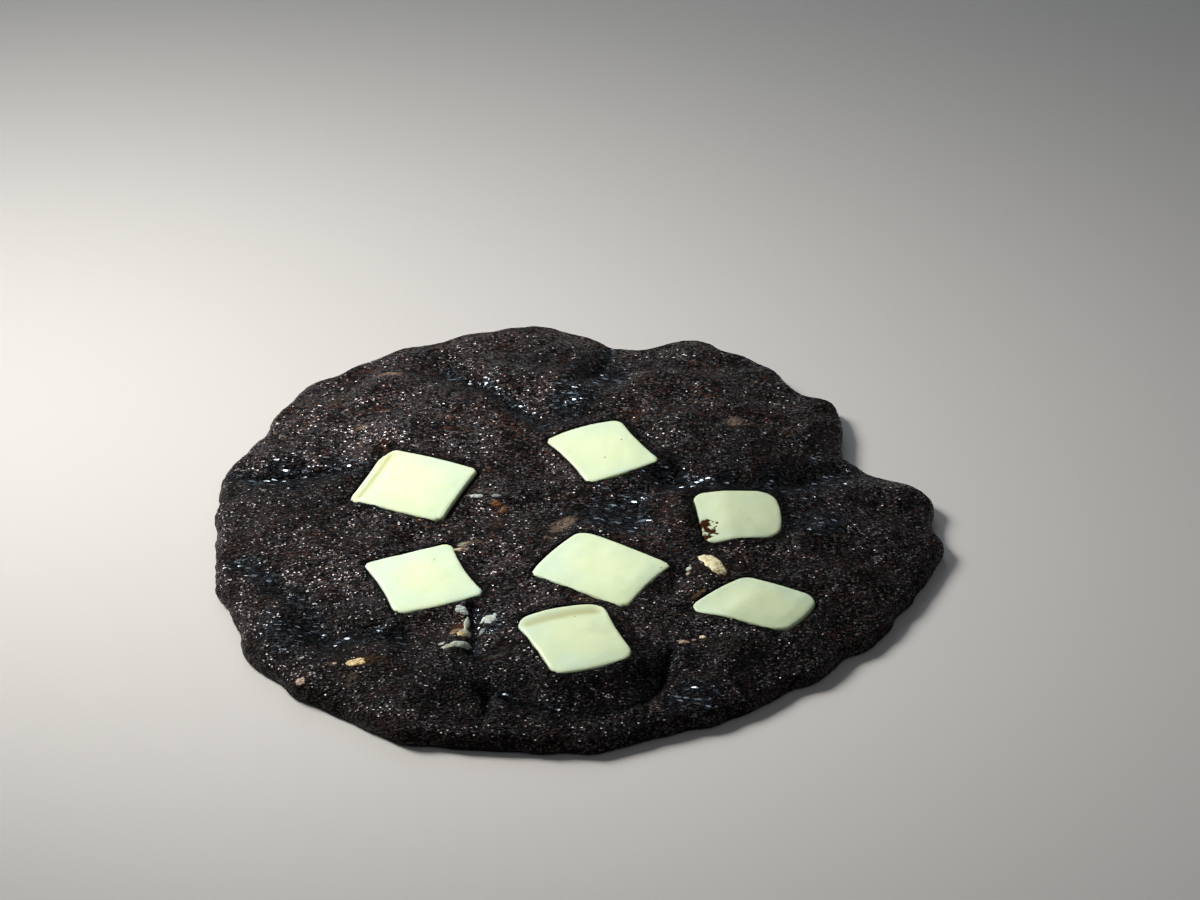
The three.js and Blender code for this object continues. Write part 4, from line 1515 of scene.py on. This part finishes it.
def dough_colour(tree, place, coarse, fine):
    brown = plus(tree, times(tree, mottled(tree, place, *BROWN_PATCHES), BROWN_SWING), BROWN_LEAST)
    brown = reckon(tree, "MULTIPLY", mottled(tree, place, *BROWN_SPECKS), brown, clamp=True)
    colour = blend_colours(tree, brown, BLACK_DOUGH, BROWN_DOUGH)
    brown_ones = times(tree, above(tree, coarse["Grain Value"], *BROWN_GRAINS), BROWN_GRAIN_AMOUNT)
    colour = blend_colours(tree, brown_ones, colour, BROWN_GRAIN)
    # pale grains: pale crumb, and painted glints
    pale_glints = times(tree, above(tree, fine["Grain Value"], *PALE_GLINT_GRAINS), PALE_GLINT_AMOUNT)
    colour = blend_colours(tree, pale_glints, colour, PALE_GRAIN_GLINT)
    for name, strength, tint in PAINTED_TINTS:
        colour = blend_colours(tree, times(tree, painted(tree, name), strength), colour, tint)
    # painted shade in the gaps between grains, painted light on their tops
    return scaled(tree, colour, spread(tree, coarse["Height"], GAP_LIGHT, GRAIN_LIGHT))


def lay_stains(tree, place, colour, coarse):
    strength = painted(tree, "stain", "Alpha")
    ragged = mottled(tree, place, *STAIN_SPECKS)
    amount = plus(tree, times(tree, strength, STAIN_GAIN), times(tree, ragged, STAIN_RAGGED))
    amount = plus(tree, amount, times(tree, coarse["Grain Value"], STAIN_GRAIN))
    amount = times(tree, above(tree, amount, *STAIN_RAMP), above(tree, strength, *STAIN_FAINT))
    return blend_colours(tree, amount, colour, painted(tree, "stain", "Color"))


print("layers that tint the dough:", ", ".join(name for name, _, _ in PAINTED_TINTS))

# %% [markdown]
# ## The glints of the dough
#
# Hundreds of tiny faces of sugar and fat catch the light. A bump alone is too soft for
# that, so they are bright facets. On dry crumb they are small and a little rough, and lie
# in loose patches. Where the dough is wet they are larger, smoother and drawn out to
# slanted streaks, as on something that has run. A facet is metallic, because a metal
# gives back light in its own colour and has none beneath. The painted light and shade
# layer comes last, so that it dims the facets too.

# %% Dough material
COARSE_GRAINS = 2800.0  # in a metre
FINE_GRAINS = 5000.0
FINE_GRAIN_HEIGHT = 0.45  # next to 1 for the coarse grains
GRAIN_DEPTH = 0.00024
SMOOTHEST_GRAIN, ROUGHEST_GRAIN = 0.4, 0.75
DOUGH_SHINE = 0.06
DRY_FACETS, WET_FACETS = 6000.0, 3800.0
FACET_TILT = 1.1
FACET_SHINE = (0.078, 0.070, 0.071)
WET_SHINE = (0.088, 0.106, 0.125)
FACET_ROUGHNESS, WET_ROUGHNESS = 0.3, 0.14
FACET_PATCHES = (260.0, 0.3, 0.6)
RUN_PATCHES = (700.0, 0.35, 0.65)
RUN_RAGGED, RUN_FROM = 0.8, 0.85
SHARE_SWING, SHARE_LEAST, SHARE_WET = 0.6, 0.1, 0.65
STREAK_TURN = (0.0, 0.0, 0.4)
STREAK_STRETCH = (0.5, 1.0, 1.0)


def facets_on(tree, place, wet):
    ragged = times(tree, mottled(tree, place, *RUN_PATCHES), RUN_RAGGED)
    run = reckon(tree, "GREATER_THAN", plus(tree, wet, ragged), RUN_FROM)
    sockets = {"Vector": place, "Rotation": STREAK_TURN, "Scale": STREAK_STRETCH}
    streaked = put(tree, "ShaderNodeMapping", sockets).outputs[0]
    patches = mottled(tree, place, *FACET_PATCHES)
    share = plus(tree, times(tree, patches, SHARE_SWING), SHARE_LEAST)
    share = reckon(tree, "MAXIMUM", share, times(tree, wet, SHARE_WET))
    dulled = reckon(tree, "MAXIMUM", painted(tree, "stain", "Alpha"), painted(tree, "soaked_and_contact_shade"))
    inputs = {
        "Place": blend(tree, "VECTOR", run, place, streaked),
        "Facets per Metre": blend(tree, "FLOAT", run, DRY_FACETS, WET_FACETS),
        "Tilt": FACET_TILT,
        "Share": times(tree, share, reckon(tree, "SUBTRACT", 1.0, dulled)),
    }
    return place_group(tree, BRIGHT_FACETS, inputs)


def dark_dough_material():
    material, tree, surface, place = new_material("dark_dough")
    wet = painted(tree, "wet_and_hollow_shade")
    coarse, fine = grain(tree, place, COARSE_GRAINS), grain(tree, place, FINE_GRAINS)
    facets = facets_on(tree, place, wet)
    mask = facets["Mask"]
    colour = lay_stains(tree, place, dough_colour(tree, place, coarse, fine), coarse)
    colour = blend_colours(tree, mask, colour, blend_colours(tree, wet, FACET_SHINE, WET_SHINE))
    # painted light and shade, laid over the colour and the facets alike
    tree.links.new(scaled(tree, colour, painted(tree, "shade")), surface["Base Color"])
    tree.links.new(mask, surface["Metallic"])
    crumb_rough = spread(tree, coarse["Gloss Value"], SMOOTHEST_GRAIN, ROUGHEST_GRAIN)
    facet_rough = blend(tree, "FLOAT", wet, FACET_ROUGHNESS, WET_ROUGHNESS)
    tree.links.new(blend(tree, "FLOAT", mask, crumb_rough, facet_rough), surface["Roughness"])
    surface["Specular IOR Level"].default_value = DOUGH_SHINE
    height = plus(tree, coarse["Height"], times(tree, fine["Height"], FINE_GRAIN_HEIGHT))
    bumpy = bump_normal(tree, height, GRAIN_DEPTH)
    tree.links.new(blend(tree, "VECTOR", mask, bumpy, facets["Normal"]), surface["Normal"])
    return material


dough.data.materials.append(dark_dough_material())
print("dough material has", len(dough.data.materials[0].node_tree.nodes), "nodes")

# %% [markdown]
# ## White chocolate
#
# White chocolate is mostly fat, so light goes some way into it and comes out again. That
# is what the subsurface inputs are for, and the radius gives how far each colour gets.
# The colour is a pale green-cream, a little yellower in patches, with a few pinholes. The
# middle of each top is painted brighter and yellower, as painted light, and each chunk is
# painted darker by its own share of painted shade. The fold beside a sloping side is
# painted darker, as a fat stain and as painted shade in its trough, and the sides are
# painted dark below as shade.
#
# The corner that the dough ate into is brown, with islands of chocolate left in it. It is
# metallic, since a metal lets no light in: the pale light inside would wash the brown out.

# %% White chocolate material
CREAM_WHITE = (0.67, 0.84, 0.61)
CREAM_YELLOW = (0.71, 0.83, 0.53)
CREAM_MIDDLE_LIT = (0.77, 0.88, 0.55)
FOLD_STAIN_AND_SHADE = (0.42, 0.41, 0.16)
PINHOLE_DARK = (0.30, 0.24, 0.12)
BITTEN_BROWN = (0.075, 0.024, 0.008)
SIDE_SHADE_OLIVE = (0.030, 0.034, 0.014)
SCATTER_RADIUS = (1.0, 0.9, 0.45)
SCATTER_SCALE = 0.0012
CHUNK_SCATTER = 0.35
CREAM_PATCHES = (130.0, 0.35, 0.65)
SHEEN_PATCHES = (500.0, 0.35, 0.65)
ISLANDS = (1000.0, 0.52, 0.6)
CHUNK_HOLES, CHUNK_HOLE_SIZE = 330.0, 0.055
PINHOLE_AMOUNT, FOLD_AMOUNT = 0.85, 0.8
BITE_GRAINS, BITE_RAGGED = 1500.0, 0.25
BITE_RAMP, BITE_FAINT = (0.55, 0.8), (0.02, 0.2)
SMOOTHEST, SHEEN_SWING, BITTEN_AND_SHADED_ROUGHER = 0.36, 0.12, 0.4
PINHOLE_DEPTH = 4.0  # next to 1 for the sheen
SHEEN_DEPTH = 0.00002


def chocolate_colour(tree, place, holes):
    colour = blend_colours(tree, mottled(tree, place, *CREAM_PATCHES), CREAM_WHITE, CREAM_YELLOW)
    # painted light: a brighter, yellower middle
    colour = blend_colours(tree, painted(tree, "middle"), colour, CREAM_MIDDLE_LIT)
    colour = blend_colours(tree, times(tree, holes, PINHOLE_AMOUNT), colour, PINHOLE_DARK)
    # the fold: fat stain and painted shade in the trough
    return blend_colours(tree, times(tree, painted(tree, "fold"), FOLD_AMOUNT), colour, FOLD_STAIN_AND_SHADE)


def bitten_mask(tree, place, crumbs):
    bite = painted(tree, "bite")
    ragged = plus(tree, bite, times(tree, crumbs["Grain Value"], BITE_RAGGED))
    bitten = times(tree, above(tree, ragged, *BITE_RAMP), above(tree, bite, *BITE_FAINT))
    islands = mottled(tree, place, *ISLANDS)
    return times(tree, bitten, reckon(tree, "SUBTRACT", 1.0, islands))


def light_in_chocolate(surface, weight):
    surface["Subsurface Weight"].default_value = weight
    surface["Subsurface Radius"].default_value = SCATTER_RADIUS
    surface["Subsurface Scale"].default_value = SCATTER_SCALE


def white_chocolate_material():
    material, tree, surface, place = new_material("white_chocolate")
    holes = pinholes(tree, place, CHUNK_HOLES, CHUNK_HOLE_SIZE)
    crumbs = grain(tree, place, BITE_GRAINS)
    bitten = bitten_mask(tree, place, crumbs)
    side = painted(tree, "shaded_side")
    colour = blend_colours(tree, bitten, chocolate_colour(tree, place, holes), BITTEN_BROWN)
    # painted shade over the whole chunk
    colour = scaled(tree, colour, painted(tree, "painted_light_share"))
    # painted shade on the sides, below the top
    tree.links.new(blend_colours(tree, side, colour, SIDE_SHADE_OLIVE), surface["Base Color"])
    tree.links.new(bitten, surface["Metallic"])
    sheen = mottled(tree, place, *SHEEN_PATCHES)
    rough = plus(tree, times(tree, sheen, SHEEN_SWING), SMOOTHEST)
    bitten_and_shaded = reckon(tree, "MAXIMUM", bitten, side)
    tree.links.new(plus(tree, rough, times(tree, bitten_and_shaded, BITTEN_AND_SHADED_ROUGHER)), surface["Roughness"])
    light_in_chocolate(surface, CHUNK_SCATTER)
    height = reckon(tree, "SUBTRACT", sheen, times(tree, holes, PINHOLE_DEPTH))
    height = plus(tree, height, times(tree, crumbs["Height"], bitten))
    tree.links.new(bump_normal(tree, height, SHEEN_DEPTH), surface["Normal"])
    return material


white_chocolate = white_chocolate_material()
for piece in chunk_pieces:
    piece.data.materials.append(white_chocolate)
print("chocolate material has", len(white_chocolate.node_tree.nodes), "nodes")

# %% [markdown]
# ## Flakes of chocolate
#
# The flakes are of the same stuff, but thin, so less light goes about in them, and the
# heat of the oven toasted them unevenly. Their own colour is painted on each. Here it is
# darkened in patches, and dotted with pinholes.

# %% Flake material
TOASTING = (0.55, 0.38, 0.24)  # what toasting leaves of each colour
TOAST_PATCHES, TOAST_AMOUNT = (1500.0, 0.45, 0.75), 0.8
FLAKE_HOLES, FLAKE_HOLE_SIZE, FLAKE_HOLE_AMOUNT = 1800.0, 0.16, 0.5
FLAKE_ROUGHNESS = 0.5
FLAKE_SCATTER = 0.2
FLAKE_GRAINS, FLAKE_GRAIN_DEPTH = 3400.0, 0.00008


def flake_material():
    material, tree, surface, place = new_material("toasted_white_chocolate")
    tint = painted(tree, "flake_tint", "Color")
    toasted = times(tree, mottled(tree, place, *TOAST_PATCHES), TOAST_AMOUNT)
    colour = blend_colours(tree, toasted, tint, reckon_vector(tree, "MULTIPLY", tint, TOASTING))
    holes = times(tree, pinholes(tree, place, FLAKE_HOLES, FLAKE_HOLE_SIZE), FLAKE_HOLE_AMOUNT)
    tree.links.new(blend_colours(tree, holes, colour, PINHOLE_DARK), surface["Base Color"])
    surface["Roughness"].default_value = FLAKE_ROUGHNESS
    light_in_chocolate(surface, FLAKE_SCATTER)
    bumpy = bump_normal(tree, grain(tree, place, FLAKE_GRAINS)["Height"], FLAKE_GRAIN_DEPTH)
    tree.links.new(bumpy, surface["Normal"])
    return material


flakes.data.materials.append(flake_material())
print("flake material has", len(flakes.data.materials[0].node_tree.nodes), "nodes")

# %% [markdown]
# ## Floor
#
# The floor is plain and pale, so that nothing but the cookie draws the eye.

# %% Floor
FLOOR_SIZE = 6.0
FLOOR_DROP = 0.00003  # just under the underside, so that the two never share a plane
FLOOR_COLOUR = (0.56, 0.55, 0.53)
FLOOR_LIGHTER = 1.03
FLOOR_PATCHES = (8.0, 0.2, 0.8)
FLOOR_ROUGHNESS = 0.75


def make_floor():
    half = FLOOR_SIZE / 2
    mesh = bpy.data.meshes.new("floor")
    corners = [(-half, -half, 0), (half, -half, 0), (half, half, 0), (-half, half, 0)]
    mesh.from_pydata(corners, [], [(0, 1, 2, 3)])
    floor = bpy.data.objects.new("floor", mesh)
    floor.location.z = -FLOOR_DROP
    bpy.context.scene.collection.objects.link(floor)
    material, tree, surface, place = new_material("pale_floor")
    lighter = tuple(FLOOR_LIGHTER * value for value in FLOOR_COLOUR)
    colour = blend_colours(tree, mottled(tree, place, *FLOOR_PATCHES), FLOOR_COLOUR, lighter)
    tree.links.new(colour, surface["Base Color"])
    surface["Roughness"].default_value = FLOOR_ROUGHNESS
    mesh.materials.append(material)


make_floor()
print("the floor is %.0f m wide" % FLOOR_SIZE)

# %% [markdown]
# ## Light
#
# Dark crumb needs light that grazes it from behind, or its grains don't show. So a small
# warm key light stands at the back left, narrow in spread, and a larger cool one behind
# the cookie. A weaker, wide one fills in from the front right, and the world, which is
# plain and pale, lifts what is left. Disks are used, as they give round, soft reflections.

# %% Lights
WARM_WHITE = (1.0, 0.97, 0.93)
COOL_WHITE = (0.80, 0.89, 1.0)
WORLD_COLOUR = (0.90, 0.88, 0.89)
WORLD_STRENGTH = 0.1


def make_light(name, direction, height, distance, size, power, colour, spread=180, towards=(0.0, 0.0)):
    light = bpy.data.lights.new(name, "AREA")
    light.shape = "DISK"
    light.size = size
    light.energy = power
    light.spread = spread * DEGREE
    light.color = colour
    holder = bpy.data.objects.new(name, light)
    turn, lift = direction * DEGREE, height * DEGREE
    out = Vector((math.cos(turn) * math.cos(lift), math.sin(turn) * math.cos(lift), math.sin(lift)))
    holder.location = distance * out
    back = holder.location - Vector((*towards, 0.0))
    holder.rotation_euler = back.to_track_quat("Z", "Y").to_euler()
    bpy.context.scene.collection.objects.link(holder)


def make_world():
    world = bpy.data.worlds.new("studio")
    bpy.context.scene.world = world
    world.use_nodes = True
    background = world.node_tree.nodes["Background"]
    background.inputs["Color"].default_value = (*WORLD_COLOUR, 1.0)
    background.inputs["Strength"].default_value = WORLD_STRENGTH


make_light(
    "key", direction=155, height=42, distance=0.32, size=0.13, power=0.16,
    colour=WARM_WHITE, spread=55, towards=(-0.035, 0.01),
)
make_light(
    "back", direction=100, height=34, distance=0.6, size=0.3, power=0.15,
    colour=COOL_WHITE, spread=90, towards=(-0.025, 0.01),
)
make_light("fill", direction=-60, height=50, distance=1.2, size=0.8, power=0.8, colour=COOL_WHITE)
make_world()
bpy.context.scene.view_settings.view_transform = "Standard"
print("lights:", ", ".join(item.name for item in bpy.data.lights))
